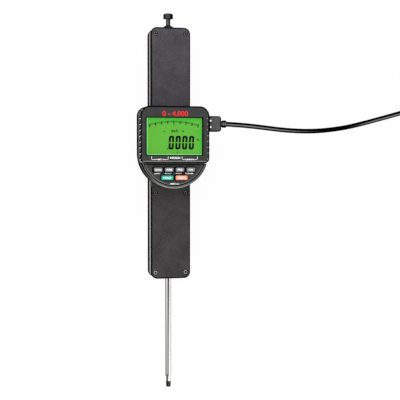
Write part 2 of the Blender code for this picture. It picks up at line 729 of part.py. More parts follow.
def build_spindle(axis, steel, black, contact_finish):
    """The spindle with its thin upper stem, the lifting cap and the contact point."""
    thick = CARRIER_TOP - SHOULDER
    stem_end = CAP_BOTTOM + CAP_SOCKET - SHOULDER
    neck = SPINDLE_RADIUS - SPINDLE_CHAMFER
    stud = CONTACT_STUD_RADIUS + BORE_GAP
    depth = CONTACT_STUD + SEAT_GAP
    profile = [
        (0.0, depth), (stud, depth), (stud, 0.0), (neck, 0.0), (SPINDLE_RADIUS, SPINDLE_CHAMFER),
        (SPINDLE_RADIUS, thick), (STEM_RADIUS, thick), (STEM_RADIUS, stem_end), (0.0, stem_end),
    ]
    base = Vector((0, SHOULDER, SPINDLE_HEIGHT))
    add_piece("spindle_rod", turned(profile, base, ALONG), steel, axis)
    socket = STEM_RADIUS + BORE_GAP
    hub, edge = STEM_RADIUS * 1.4, CAP_LENGTH / 8
    depth = CAP_SOCKET + SEAT_GAP
    profile = [
        (0.0, depth), (socket, depth), (socket, 0.0), (hub, 0.0), (hub, edge), (CAP_RADIUS - edge, edge),
        (CAP_RADIUS, 2 * edge), (CAP_RADIUS, CAP_LENGTH - edge), (CAP_RADIUS - edge, CAP_LENGTH - edge / 2),
        (0.0, CAP_LENGTH),
    ]
    add_piece("lifting_cap", turned(profile, (0, CAP_BOTTOM, SPINDLE_HEIGHT), ALONG), black, axis)
    tip = CONTACT_RADIUS
    flat = CONTACT_NECK
    reach = CONTACT_NECK + CONTACT_LENGTH
    profile = [
        (0.0, -CONTACT_STUD), (CONTACT_STUD_RADIUS, -CONTACT_STUD), (CONTACT_STUD_RADIUS, SEAT_GAP),
        (CONTACT_NECK_RADIUS, SEAT_GAP), (CONTACT_NECK_RADIUS, flat), (tip, flat), (tip, reach - tip * 0.45),
        (tip * 0.87, reach - tip * 0.22), (tip * 0.5, reach - tip * 0.06), (0.0, reach),
    ]
    contact = turned(profile, base, -ALONG, SMALL_ROUND)
    add_piece("contact_point", contact, contact_finish, axis)


def build_slide(axis, aluminium, glass, steel):
    """The carrier clamped to the spindle, and the scale it holds under the reader."""
    wide = CARRIER_WIDTH / 2
    bar = box((-wide, CARRIER_BOTTOM, BAR_LOW), (wide, CARRIER_TOP, BAR_HIGH))
    carrier = add_piece("scale_carrier", bar, aluminium, axis)
    half, floor = CLAMP_WIDTH / 2, BACK_WALL + CLAMP_FLOOR_GAP
    inside = BAR_LOW + CARRIER_BAR / 2
    ends = ((CARRIER_BOTTOM, CARRIER_BOTTOM + CLAMP_LENGTH), (CARRIER_TOP - CLAMP_LENGTH, CARRIER_TOP))
    nudge = CARRIER_BAR / 10
    blocks = [box((-half, a + nudge, floor), (half, b - nudge, inside)) for a, b in ends]
    weld_on(carrier, "clamps", *blocks)
    hole = GUIDE_ROD_RADIUS + BORE_GAP
    arm_end = GUIDE_ROD_OFFSET + hole + GUIDE_ARM_WALL
    arm_low, arm_high = SPINDLE_HEIGHT - hole - GUIDE_ARM_WALL, SPINDLE_HEIGHT + hole + GUIDE_ARM_WALL
    start, end = ends[0]
    arm = box((half / 2, start + 2 * nudge, arm_low), (arm_end, end - 2 * nudge, arm_high))
    weld_on(carrier, "guide_arm", arm)
    long = CARRIER_TOP - CARRIER_BOTTOM + 2 * CLAMP_LENGTH
    start = CARRIER_BOTTOM - CLAMP_LENGTH
    spindle_way = cylinder(SPINDLE_RADIUS + BORE_GAP, long, (0, start, SPINDLE_HEIGHT), ALONG)
    cut(carrier, "spindle_way", spindle_way)
    rod_way = cylinder(hole, long, (GUIDE_ROD_OFFSET, start, SPINDLE_HEIGHT), ALONG, SMALL_ROUND)
    cut(carrier, "rod_way", rod_way)
    reach = SCREW_HEAD + CARRIER_BAR
    tops = [
        Vector((0, y, BAR_HIGH + SEAT_GAP + SCREW_HEAD))
        for y in (CARRIER_BOTTOM + CLAMP_END / 2, CARRIER_TOP - CLAMP_END / 2)
    ]
    cut(carrier, "screw_holes", *(screw_clearance(top, DOWN, reach=2 * reach) for top in tops))
    for number, top in enumerate(tops, 1):
        screw(f"carrier_screw_{number}", top, DOWN, axis, steel, reach)
    side = SCALE_WIDTH / 2
    low = (-side, CARRIER_BOTTOM + CLAMP_END, BAR_HIGH + SEAT_GAP)
    add_piece("scale_strip", box(low, (side, CARRIER_TOP - CLAMP_END, SCALE_HIGH)), glass, axis)


def screw_bosses(spots, high):
    """Round bosses over the case screws, up to the shell's face."""
    return [
        cylinder(CASE_SCREW_BOSS, high - FACE_LOW, (x, y, FACE_LOW), UP, SMALL_ROUND) for x, y, _ in spots
    ]


def board_passage():
    """The slot under the two front shells' meeting walls that the main board runs through."""
    radius = HEAD_RADIUS - HEAD_WALL - SEAT_GAP
    room = 2 * HEAD_WALL
    low, high = (math.degrees(math.asin(y / radius)) for y in (SEAM_Y - room, SEAM_Y + room))
    outline = arc((0, 0), radius, low, high, 3) + arc((0, 0), radius, 180 - high, 180 - low, 3)
    return prism(outline, CASE_HIGH, BOARD_HIGH + SEAT_GAP)


def build_rear_case(axis, finish, steel):
    """The head's back shell, which runs on the hub, and the screws that close the head."""
    case = add_piece("head_rear_case", prism(head_outline(), CASE_LOW, CASE_HIGH), finish, axis)
    soften(case, COLUMN_EDGE)
    floor = CASE_LOW + CASE_FLOOR
    cut(case, "hollow", prism(head_outline(HEAD_WALL), floor, CASE_HIGH + CASE_FLOOR))
    bore = HUB_RADIUS / math.cos(math.pi / ROUND) + RUNNING_GAP
    cut(case, "hub_bore", cylinder(bore, CASE_DEPTH, (0, 0, COLUMN_FRONT), UP))
    spots = case_screw_spots()
    cut(case, "screw_holes", *(screw_clearance(spot, UP) for spot in spots))
    reach = CASE_DEPTH + SCREW_REACH / 2
    for number, spot in enumerate(spots, 1):
        screw(f"case_screw_{number}", spot, UP, axis, steel, reach)


def groove_spots():
    """Where the finger grooves stand round the bezel: (point on the outline, outward angle)."""
    level = HEAD_TOP - HEAD_CORNER
    across = HEAD_RADIUS - HEAD_CORNER
    turn = math.degrees(GROOVE_PITCH / HEAD_CORNER)
    spots = []
    for number in range(GROOVES_PER_SIDE):
        spots.append((HEAD_RADIUS, GROOVE_START + number * GROOVE_PITCH, 0.0))
    for number in (1, 2):
        x, y = arc((across, level), HEAD_CORNER, turn * number, turn * number, 1)[0]
        spots.append((x, y, turn * number))
    return spots + [(-x, y, 180.0 - angle) for x, y, angle in spots]


def groove(spot):
    """One finger groove's cutter, square to the outline."""
    x, y, angle = spot
    half = GROOVE_WIDTH / 2
    shape = box((-GROOVE_DEPTH, -half, FACE_LOW - SEAT_GAP), (HEAD_WALL, half, BEZEL_HIGH + SEAT_GAP))
    shape.transform(Matrix.Translation((x, y, 0)) @ Matrix.Rotation(math.radians(angle), 4, "Z"))
    return shape


def socket_box(gap):
    """The output socket's block, or its opening in the bezel's wall."""
    side, tall = SOCKET_WIDTH / 2 + gap, SOCKET_HEIGHT / 2 + gap
    outer = HEAD_RADIUS - SEAT_GAP + 2 * gap
    low = (outer - SOCKET_DEPTH - 4 * gap, CONNECTOR_CENTRE - side, CONNECTOR_MIDDLE - tall)
    return box(low, (outer, CONNECTOR_CENTRE + side, CONNECTOR_MIDDLE + tall))


def build_bezel(axis, finish, contact_finish):
    """The display's front shell with its window, finger grooves and output socket."""
    bezel = add_piece("display_bezel", prism(display_outline(), FACE_LOW, BEZEL_HIGH), finish, axis)
    soften(bezel, BEZEL_EDGE)
    cut(bezel, "hollow", prism(display_outline(HEAD_WALL), CASE_HIGH, BEZEL_UNDER))
    low, high = (-WINDOW_HALF, WINDOW_BOTTOM), (WINDOW_HALF, WINDOW_TOP)
    through = BEZEL_FACE + SEAT_GAP
    window = prism(evenly_rounded(low, high, BEZEL_EDGE), BEZEL_UNDER - SEAT_GAP, BEZEL_UNDER + through)
    cut(bezel, "window", window)
    spots = case_screw_spots()[:2]
    weld_on(bezel, "bosses", *screw_bosses(spots, BEZEL_UNDER + BEZEL_FACE / 3))
    reach = CASE_DEPTH + SCREW_REACH / 2
    cut(bezel, "screw_holes", *(screw_clearance(spot, UP, reach=reach) for spot in spots))
    cut(bezel, "board_passage", board_passage())
    cut(bezel, "grooves", *(groove(spot) for spot in groove_spots()))
    cut(bezel, "socket_opening", socket_box(SEAT_GAP))
    add_piece("output_socket", socket_box(0.0), contact_finish, axis)


def build_display(axis, clear, lcd_finish, glow):
    """The window, the liquid crystal panel and the backlight behind it."""
    side, low, high = WINDOW_HALF - SEAT_GAP, WINDOW_BOTTOM + SEAT_GAP, WINDOW_TOP - SEAT_GAP
    outline = evenly_rounded((-side, low), (side, high), BEZEL_EDGE)
    floor = BEZEL_UNDER + SEAT_GAP
    add_piece("display_window", prism(outline, floor, floor + WINDOW_THICKNESS), clear, axis)
    side, low, high = WINDOW_HALF + LCD_BORDER, WINDOW_BOTTOM - LCD_BORDER, WINDOW_TOP + LCD_BORDER
    add_piece("lcd_panel", box((-side, low, LCD_LOW), (side, high, LCD_HIGH)), lcd_finish, axis)
    edge = LCD_BORDER - BACKLIGHT_BORDER
    side, low, high = WINDOW_HALF + edge, WINDOW_BOTTOM - edge, WINDOW_TOP + edge
    light = box((-side, low, BOARD_HIGH + SEAT_GAP), (side, high, LCD_LOW - SEAT_GAP))
    add_piece("backlight", light, glow, axis)


def build_electronics(axis, board_finish, steel):
    """The main board across the head, and the cell under it."""
    outline = head_outline(HEAD_WALL + 2 * SEAT_GAP)
    board = add_piece("main_board", prism(outline, BOARD_LOW, BOARD_HIGH), board_finish, axis)
    room = CASE_SCREW_BOSS + SEAT_GAP
    tall = BOARD_THICKNESS * 3
    low = BOARD_LOW - BOARD_THICKNESS
    cut(board, "boss_room", *(
        cylinder(room, tall, (x, y, low), UP, SMALL_ROUND) for x, y, _ in case_screw_spots()
    ))
    centre = Vector((0, RING_RADIUS + BATTERY_RADIUS + SEAT_GAP, BOARD_LOW - SEAT_GAP - BATTERY_THICKNESS))
    add_piece("battery_cell", cylinder(BATTERY_RADIUS, BATTERY_THICKNESS, centre, UP), steel, axis)


def key_layout():
    """(name, centre x, centre y, width at the foot) of the six keys."""
    keys = []
    rows = (
        (UPPER_ROW_Y, ("key_units", "key_origin", "key_preset", "key_power")),
        (LOWER_ROW_Y, ("key_green", "key_orange")),
    )
    for y, names in rows:
        chord = math.sqrt(PANEL_RADIUS**2 - (y - KEY_HEIGHT / 2) ** 2) - KEY_ROW_MARGIN
        pitch = 2 * chord / len(names)
        for i, name in enumerate(names):
            keys.append((name, pitch * (i + 0.5) - chord, y, pitch - KEY_SPACING))
    return keys


def key_outline(x, y, width, height):
    """A key's rounded outline."""
    return evenly_rounded((x - width / 2, y - height / 2), (x + width / 2, y + height / 2), KEY_CORNER, 3)


def build_keypad(axis, finish, rubber):
    """The tray below the display, with a hole for each key, and the rubber mat behind it."""
    top = SEAM_Y - SEAT_GAP
    shape = prism(keypad_outline(HEAD_RADIUS, top), FACE_LOW, RIM_HIGH)
    tray = add_piece("keypad_bezel", shape, finish, axis)
    soften(tray, KEYPAD_EDGE)
    inner = keypad_outline(HEAD_RADIUS - HEAD_WALL, top - HEAD_WALL)
    cut(tray, "hollow", prism(inner, CASE_HIGH, PANEL_LOW))
    face = keypad_outline(PANEL_RADIUS, top - KEYPAD_RIM / 3)
    cut(tray, "recess", prism(face, PANEL_HIGH, RIM_HIGH + KEYPAD_RIM))
    spots = case_screw_spots()[2:]
    weld_on(tray, "bosses", *screw_bosses(spots, PANEL_LOW + KEYPAD_FACE / 3))
    reach = CASE_DEPTH + SCREW_REACH / 2
    cut(tray, "screw_holes", *(screw_clearance(spot, UP, reach=reach) for spot in spots))
    cut(tray, "board_passage", board_passage())
    gap = 2 * KEY_CLEARANCE
    holes = [
        prism(key_outline(x, y, width + gap, KEY_HEIGHT + gap), MAT_HIGH, RIM_HIGH)
        for _, x, y, width in key_layout()
    ]
    cut(tray, "key_holes", *holes)
    reach = LOWER_BOSS_REACH - CASE_SCREW_BOSS - SEAT_GAP
    outline = keypad_outline(reach, top - HEAD_WALL - SEAT_GAP)
    add_piece("keypad_mat", prism(outline, BOARD_HIGH + SEAT_GAP, MAT_HIGH), rubber, axis)


def build_keys(black):
    """The six push keys, each on its own empty."""
    for name, x, y, width in key_layout():
        axis = axis_empty(f"{name}_axis", (x, y, KEY_HIGH))
        foot = key_outline(x, y, width, KEY_HEIGHT)
        crown = key_outline(x, y, width - 2 * KEY_TAPER_X, KEY_HEIGHT - 2 * KEY_TAPER_Y)
        shape = loft([(foot, KEY_LOW), (foot, PANEL_HIGH), (crown, KEY_HIGH)])
        add_piece(name, shape, black, axis)


def build_connector(axis, black):
    """The cable's moulded connector at the head, and its strain relief."""
    start = HEAD_RADIUS + SEAT_GAP
    half = CONNECTOR_WIDTH / 2
    low = (start, CONNECTOR_CENTRE - half)
    high = (start + CONNECTOR_LENGTH, CONNECTOR_CENTRE + half)
    plain = PLATE_CORNER
    outline = rounded_rectangle(low, high, (plain, CONNECTOR_CORNER, CONNECTOR_CORNER, plain))
    floor = CONNECTOR_HIGH - CONNECTOR_THICKNESS
    connector = add_piece("cable_connector", prism(outline, floor, CONNECTOR_HIGH), black, axis)
    soften(connector, COLUMN_EDGE)
    base = Vector((high[0] + SEAT_GAP, CONNECTOR_CENTRE, CONNECTOR_MIDDLE))
    slim = (RELIEF_RADIUS + CABLE_RADIUS) / 2
    profile = [
        (0.0, 0.0), (slim, 0.0), (slim, RELIEF_NECK), (RELIEF_RADIUS, RELIEF_NECK),
        (RELIEF_RADIUS, RELIEF_NECK * 2), (slim, RELIEF_LENGTH), (0.0, RELIEF_LENGTH),
    ]
    add_piece("cable_strain_relief", turned(profile, base, ACROSS), black, axis)


def coil_point(turns):
    """The cable's centre after so many turns of the coil: it spirals in and out again, a layer each way,
    and climbs to the next layer in the half turn where the spiral reverses."""
    layer = min(int(turns / COIL_TURNS_PER_LAYER), COIL_LAYERS - 1)
    within = turns - layer * COIL_TURNS_PER_LAYER
    inward = within if layer % 2 == 0 else COIL_TURNS_PER_LAYER - within
    radius = COIL_RADIUS + COIL_PITCH * (COIL_TURNS_PER_LAYER / 2 - inward)
    climbed = 0.0
    for reversal in range(1, COIL_LAYERS):
        share = min(1.0, max(0.0, (turns - reversal * COIL_TURNS_PER_LAYER) * 2 + 0.5))
        climbed += share * share * (3 - 2 * share)
    angle = math.radians(COIL_START_ANGLE) + math.tau * turns
    height = CABLE_RADIUS + COIL_LIFT + COIL_PITCH * climbed
    return Vector((
        COIL_CENTRE.x + radius * math.cos(angle), COIL_CENTRE.y + radius * math.sin(angle), height
    ))


def coil_points():
    """The coil's centre line, with a straight end of one diameter at each end."""
    turns = COIL_LAYERS * COIL_TURNS_PER_LAYER
    count = round(turns * LOOP_POINTS)
    points = [coil_point(turns * i / count) for i in range(count + 1)]
    first = (points[0] - points[1]).normalized()
    last = (points[-1] - points[-2]).normalized()
    return [points[0] + first * COIL_LEAD, *points, points[-1] + last * COIL_LEAD]


def least_gap(points):
    """The least gap between stretches of the coil that aren't next to each other along it."""
    near = LOOP_POINTS // 3
    spans = [
        (points[i] - points[j]).length for i in range(len(points)) for j in range(i + near, len(points))
    ]
    return min(spans) - 2 * CABLE_RADIUS


def build_cable(axis, black, tie_finish):
    """The cable from the strain relief to the coil, the coil with its tie, and the tail to the plug."""
    coil = coil_points()
    print(f"least gap of the coil to itself: {least_gap(coil) / MM:.2f} mm")
    add_cable("cable_coil", coil, 1, black, axis)
    inward = (coil[1] - coil[0]).normalized()
    outward = (coil[-1] - coil[-2]).normalized()
    run_end = coil[0] - inward * SEAT_GAP
    run = curve_through([CABLE_EXIT, *RUN_ROUTE, run_end - inward * COIL_LEAD], TUBE_STEP)
    add_cable("cable_run", [*run, run_end], 2, black, axis)
    tail_start = coil[-1] + outward * SEAT_GAP
    tail = curve_through([tail_start + outward * COIL_LEAD, *TAIL_ROUTE, PLUG_BACK], TUBE_STEP)
    add_cable("cable_tail", [tail_start, *tail], 2, black, axis)
    reach = COIL_PITCH * COIL_TURNS_PER_LAYER / 2 + CABLE_RADIUS + TIE_PLAY
    low = COIL_LIFT - TIE_PLAY / 2
    high = COIL_LIFT + 2 * CABLE_RADIUS + COIL_PITCH * (COIL_LAYERS - 1) + TIE_PLAY
    skin = TIE_THICKNESS
    outer = evenly_rounded((-reach - skin, low - skin), (reach + skin, high + skin), CABLE_RADIUS)
    inner = evenly_rounded((-reach, low), (reach, high), CABLE_RADIUS - skin)
    angle = math.radians(TIE_ANGLE)
    place = Matrix.Translation((*COIL_CENTRE, 0.0)) @ Matrix.Rotation(angle, 4, "Z")
    place = place @ Matrix.Translation((COIL_RADIUS, 0, 0)) @ Matrix.Rotation(math.pi / 2, 4, "X")
    band = prism(outer, -TIE_WIDTH / 2, TIE_WIDTH / 2)
    band.transform(place)
    tie = add_piece("cable_tie", band, tie_finish, axis)
    hollow = prism(inner, -TIE_WIDTH, TIE_WIDTH)
    hollow.transform(place)
    cut(tie, "bundle_room", hollow)


def build_plug(axis, black, steel):
    """The plug on the cable's far end: a moulded body and a metal shell with a tongue inside."""
    back = PLUG_BACK.y + SEAT_GAP
    front = back + PLUG_LENGTH
    half, tall = PLUG_WIDTH / 2, PLUG_THICKNESS / 2
    outline = evenly_rounded((PLUG_BACK.x - half, back), (PLUG_BACK.x + half, front), CONNECTOR_CORNER)
    body = add_piece("plug_body", prism(outline, PLUG_BACK.z - tall, PLUG_BACK.z + tall), black, axis)
    soften(body, COLUMN_EDGE)
    side, rise, wall = PLUG_SHELL_WIDTH / 2, PLUG_SHELL_THICKNESS / 2, PLUG_SHELL_WALL
    start = front + SEAT_GAP
    end = start + PLUG_SHELL_LENGTH
    shell = add_piece("plug_shell", box(
        (PLUG_BACK.x - side, start, PLUG_BACK.z - rise), (PLUG_BACK.x + side, end, PLUG_BACK.z + rise)
    ), steel, axis)
    cut(shell, "mouth", box(
        (PLUG_BACK.x - side + wall, start - PLUG_SHELL_WALL, PLUG_BACK.z - rise + wall),
        (PLUG_BACK.x + side - wall, end + PLUG_SHELL_WALL, PLUG_BACK.z + rise - wall),
    ))
    side, low = side - wall - SEAT_GAP, PLUG_BACK.z - rise + wall + SEAT_GAP
    weld_on(body, "tongue", box(
        (PLUG_BACK.x - side, front - PLUG_LENGTH / 4, low),
        (PLUG_BACK.x + side, end - PLUG_SHELL_WALL, low + PLUG_TONGUE),
    ))


def main():
    clear_scene()
    anodised = material("black_anodised", (0.060, 0.059, 0.062), 0.55)
    moulded = material("dark_moulded", (0.055, 0.054, 0.056), 0.5)
    black = material("black_plastic", (0.018, 0.018, 0.019), 0.45)
    rubber = material("rubber", (0.02, 0.02, 0.02), 0.85)
    steel = material("ground_steel", (0.62, 0.61, 0.59), 0.25, 1.0)
    dark_steel = material("blackened_steel", (0.05, 0.05, 0.05), 0.4, 0.8)
    bronze = material("bronze", (0.55, 0.36, 0.16), 0.35, 1.0)
    aluminium = material("aluminium", (0.7, 0.7, 0.72), 0.4, 1.0)
    glass = material("clear_glass", (0.85, 0.9, 0.88), 0.05)
    lcd_green = material("lcd_green", (0.12, 0.52, 0.06), 0.4)
    board = material("circuit_board", (0.03, 0.16, 0.07), 0.5)

    frame = axis_empty("column_frame", (0, 0, 0))
    spindle_axis = axis_empty("spindle_axis", (0, 0, SPINDLE_HEIGHT))
    drum_axis = axis_empty("drum_axis", (DRUM_X, DRUM_Y, DRUM_LOW))
    head_axis = axis_empty("head_axis", (0, 0, COLUMN_FRONT))

    build_housing(frame, anodised)
    build_covers(frame, anodised, dark_steel)
    build_bushings(frame, bronze, anodised, rubber)
    build_guides(frame, steel, board)
    build_swivel(frame, anodised, dark_steel, aluminium)
    build_return_spring(frame, drum_axis, spindle_axis, steel, black)
    build_spindle(spindle_axis, steel, black, black)
    build_slide(spindle_axis, aluminium, glass, dark_steel)
    build_rear_case(head_axis, moulded, dark_steel)
    build_bezel(head_axis, moulded, black)
    build_display(head_axis, glass, lcd_green, glass)
    build_electronics(head_axis, board, steel)
    build_keypad(head_axis, moulded, rubber)
    build_keys(black)
    build_connector(head_axis, black)
    build_cable(head_axis, black, rubber)
    build_plug(head_axis, black, steel)


main()
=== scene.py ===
"""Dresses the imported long-travel digital indicator and lays it on a pale floor in soft light.

Metres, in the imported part's frame: +X to the reader's right, +Y along the spindle towards its lifting
cap, +Z out of the display.
"""

from __future__ import annotations

import json
import logging
import math
from collections.abc import Callable, Iterator, Sequence
from contextlib import contextmanager
from dataclasses import dataclass
from enum import Enum
from functools import cache
from typing import Any

import bmesh
import bpy
from bpy.types import Material, Object
from mathutils import Matrix, Vector

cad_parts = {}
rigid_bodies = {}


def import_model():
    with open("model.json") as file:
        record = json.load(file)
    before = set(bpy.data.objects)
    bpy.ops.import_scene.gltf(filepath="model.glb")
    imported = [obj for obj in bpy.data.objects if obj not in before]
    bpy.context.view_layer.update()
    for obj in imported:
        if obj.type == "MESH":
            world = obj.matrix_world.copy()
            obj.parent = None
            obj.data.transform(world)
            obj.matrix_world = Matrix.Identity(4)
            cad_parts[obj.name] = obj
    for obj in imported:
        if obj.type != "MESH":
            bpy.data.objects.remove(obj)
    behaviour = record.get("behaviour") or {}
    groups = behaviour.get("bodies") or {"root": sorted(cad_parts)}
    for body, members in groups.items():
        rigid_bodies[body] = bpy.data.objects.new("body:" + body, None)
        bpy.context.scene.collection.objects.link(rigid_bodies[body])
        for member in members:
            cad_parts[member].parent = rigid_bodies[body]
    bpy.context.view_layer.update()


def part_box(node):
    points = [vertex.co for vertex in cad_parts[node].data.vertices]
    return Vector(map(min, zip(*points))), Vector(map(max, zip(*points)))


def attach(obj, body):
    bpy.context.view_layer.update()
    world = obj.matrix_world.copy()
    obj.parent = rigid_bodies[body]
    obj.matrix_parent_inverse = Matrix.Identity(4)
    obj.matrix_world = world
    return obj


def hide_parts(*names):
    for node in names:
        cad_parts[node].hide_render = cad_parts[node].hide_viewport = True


MM = 0.001
NEAR = 0.02 * MM
PRINT = 0.05 * MM
CLOUD = 70.0
SQUARE = (0.0, 0.0, 0.0, 0.0)
CORNERS = range(1, 5)
CRISP_ANGLE = 12.0
ROUND_ANGLE = 40.0
NOISE_SPAN = (0.3, 0.7)
LOG = logging.getLogger("indicator")

Colour = tuple[float, float, float]
Spot = tuple[float, float]
Place = Sequence[float]
Profile = Sequence[Spot]
Test = Callable[[Any], bool]


def shade(red: int, green: int, blue: int) -> Colour:
    """A colour as it is seen, in 0 to 255.

    Args:
        red: Share of red.
        green: Share of green.
        blue: Share of blue.

    Returns:
        The colour in linear light.
    """
    seen = (red / 255, green / 255, blue / 255)
    return tuple(c / 12.92 if c <= 0.04045 else ((c + 0.055) / 1.055) ** 2.4 for c in seen)


def scaled(points: Profile) -> list[Spot]:
    """A profile given in millimetres, in metres."""
    return [(radius * MM, reach * MM) for radius, reach in points]


class Level(Enum):
    """What is picked in edit mode."""

    POINTS = "VERT"
    EDGES = "EDGE"
    FACES = "FACE"


class Along(Enum):
    """The direction a turned piece runs in, with a direction square to it."""

    UP = ((0.0, 0.0, 1.0), (1.0, 0.0, 0.0))
    DOWN = ((0.0, 0.0, -1.0), (1.0, 0.0, 0.0))
    CAPWARD = ((0.0, 1.0, 0.0), (1.0, 0.0, 0.0))
    TIPWARD = ((0.0, -1.0, 0.0), (1.0, 0.0, 0.0))
    RIGHT = ((1.0, 0.0, 0.0), (0.0, 1.0, 0.0))


class Wire:
    """A shader value that takes part in a Python expression."""

    def __init__(self, tree: Tree, socket: bpy.types.NodeSocket) -> None:
        """Keeps the socket and the tree that it is in."""
        self.tree = tree
        self.socket = socket

    def maths(self, operation: str, first: Any, second: Any) -> Wire:
        """A Math node on two values."""
        return self.tree.node("ShaderNodeMath", {"operation": operation}, {0: first, 1: second})

    def __add__(self, other: Any) -> Wire:
        """This value plus another."""
        return self.maths("ADD", self, other)

    def __radd__(self, other: Any) -> Wire:
        """Another value plus this one."""
        return self.maths("ADD", other, self)

    def __sub__(self, other: Any) -> Wire:
        """This value less another."""
        return self.maths("SUBTRACT", self, other)

    def __rsub__(self, other: Any) -> Wire:
        """Another value less this one."""
        return self.maths("SUBTRACT", other, self)

    def __mul__(self, other: Any) -> Wire:
        """This value times another."""
        return self.maths("MULTIPLY", self, other)

    def __rmul__(self, other: Any) -> Wire:
        """Another value times this one."""
        return self.maths("MULTIPLY", other, self)

    def size(self) -> Wire:
        """The value without its sign."""
        return self.maths("ABSOLUTE", self, 0.0)

    def most(self, other: Any) -> Wire:
        """The larger of this value and another."""
        return self.maths("MAXIMUM", self, other)

    def rise(self, low: float, high: float) -> Wire:
        """A smooth step.

        Args:
            low: Where it is 0.
            high: Where it is 1.

        Returns:
            The step's value.
        """
        settings = {"interpolation_type": "SMOOTHSTEP"}
        sockets = {"Value": self, "From Min": low, "From Max": high}
        return self.tree.node("ShaderNodeMapRange", settings, sockets)


class Tree:
    """The nodes of one material or of the world."""

    def __init__(self, owner: Material | bpy.types.World) -> None:
        """Empties the owner's nodes.

        Args:
            owner: The material or world whose nodes these are.
        """
        owner.use_nodes = True
        self.links = owner.node_tree.links
        self.nodes = owner.node_tree.nodes
        self.nodes.clear()

    def node(
        self, kind: str, settings: dict[str, Any] | None = None, sockets: dict[Any, Any] | None = None,
        out: str | int = 0,
    ) -> Wire:
        """Adds a node.

        Args:
            kind: The node's type.
            settings: Its settings, set first.
            sockets: Values or wires of its inputs.
            out: The output that is used.

        Returns:
            The wire of that output.
        """
        made = self.nodes.new(kind)
        for name, value in (settings or {}).items():
            setattr(made, name, value)
        for key, value in (sockets or {}).items():
            socket = made.inputs[key]
            if isinstance(value, Wire):
                self.links.new(value.socket, socket)
            elif socket.type == "RGBA":
                socket.default_value = (*value, 1.0)
            else:
                socket.default_value = value
        return Wire(self, made.outputs[out]) if made.outputs else Wire(self, made.inputs[0])

    def place(self, stretch: Place = (1.0, 1.0, 1.0)) -> Wire:
        """The point on the piece, in metres, stretched along its axes."""
        spot = self.node("ShaderNodeTexCoord", out="Object")
        return self.node("ShaderNodeMapping", {}, {"Vector": spot, "Scale": stretch})

    def part(self, vector: Wire, axis: str) -> Wire:
        """One component of a vector."""
        return self.node("ShaderNodeSeparateXYZ", {}, {0: vector}, axis)

    def normal(self, axis: str) -> Wire:
        """How far the surface faces along an axis of the piece, from -1 to 1."""
        return self.part(self.node("ShaderNodeTexCoord", out="Normal"), axis)

    def ray(self, kind: str) -> Wire:
        """1 for rays of a kind, such as Is Camera Ray."""
        return self.node("ShaderNodeLightPath", out=kind)

    def noise(self, spot: Wire, scale: float, detail: float = 2.0) -> Wire:
        """Soft noise from 0 to 1 about a half."""
        return self.node("ShaderNodeTexNoise", {}, {"Vector": spot, "Scale": scale, "Detail": detail})

    def mix(self, first: Any, second: Any, share: Any) -> Wire:
        """The first colour, turning into the second as share goes from 0 to 1."""
        return self.node("ShaderNodeMix", {"data_type": "RGBA"}, {0: share, 6: first, 7: second}, 2)

    def bump(self, height: Wire, strength: float, distance: float) -> Wire:
        """A normal that follows the height."""
        return self.node("ShaderNodeBump", {}, {"Height": height, "Strength": strength, "Distance": distance})

    def surface(self, sockets: dict[str, Any]) -> None:
        """Ends the tree in a Principled surface with these sockets."""
        shader = self.node("ShaderNodeBsdfPrincipled", {}, sockets)
        self.node("ShaderNodeOutputMaterial", {}, {"Surface": shader})


class Finish:
    """A surface finish."""

    name: str

    def wire(self, tree: Tree) -> None:
        """Builds the finish's nodes."""
        raise NotImplementedError


@cache
def painted(finish: Finish) -> Material:
    """The material of a finish, made once.

    Args:
        finish: The finish.

    Returns:
        Its material.
    """
    made = bpy.data.materials.new(finish.name)
    finish.wire(Tree(made))
    return made


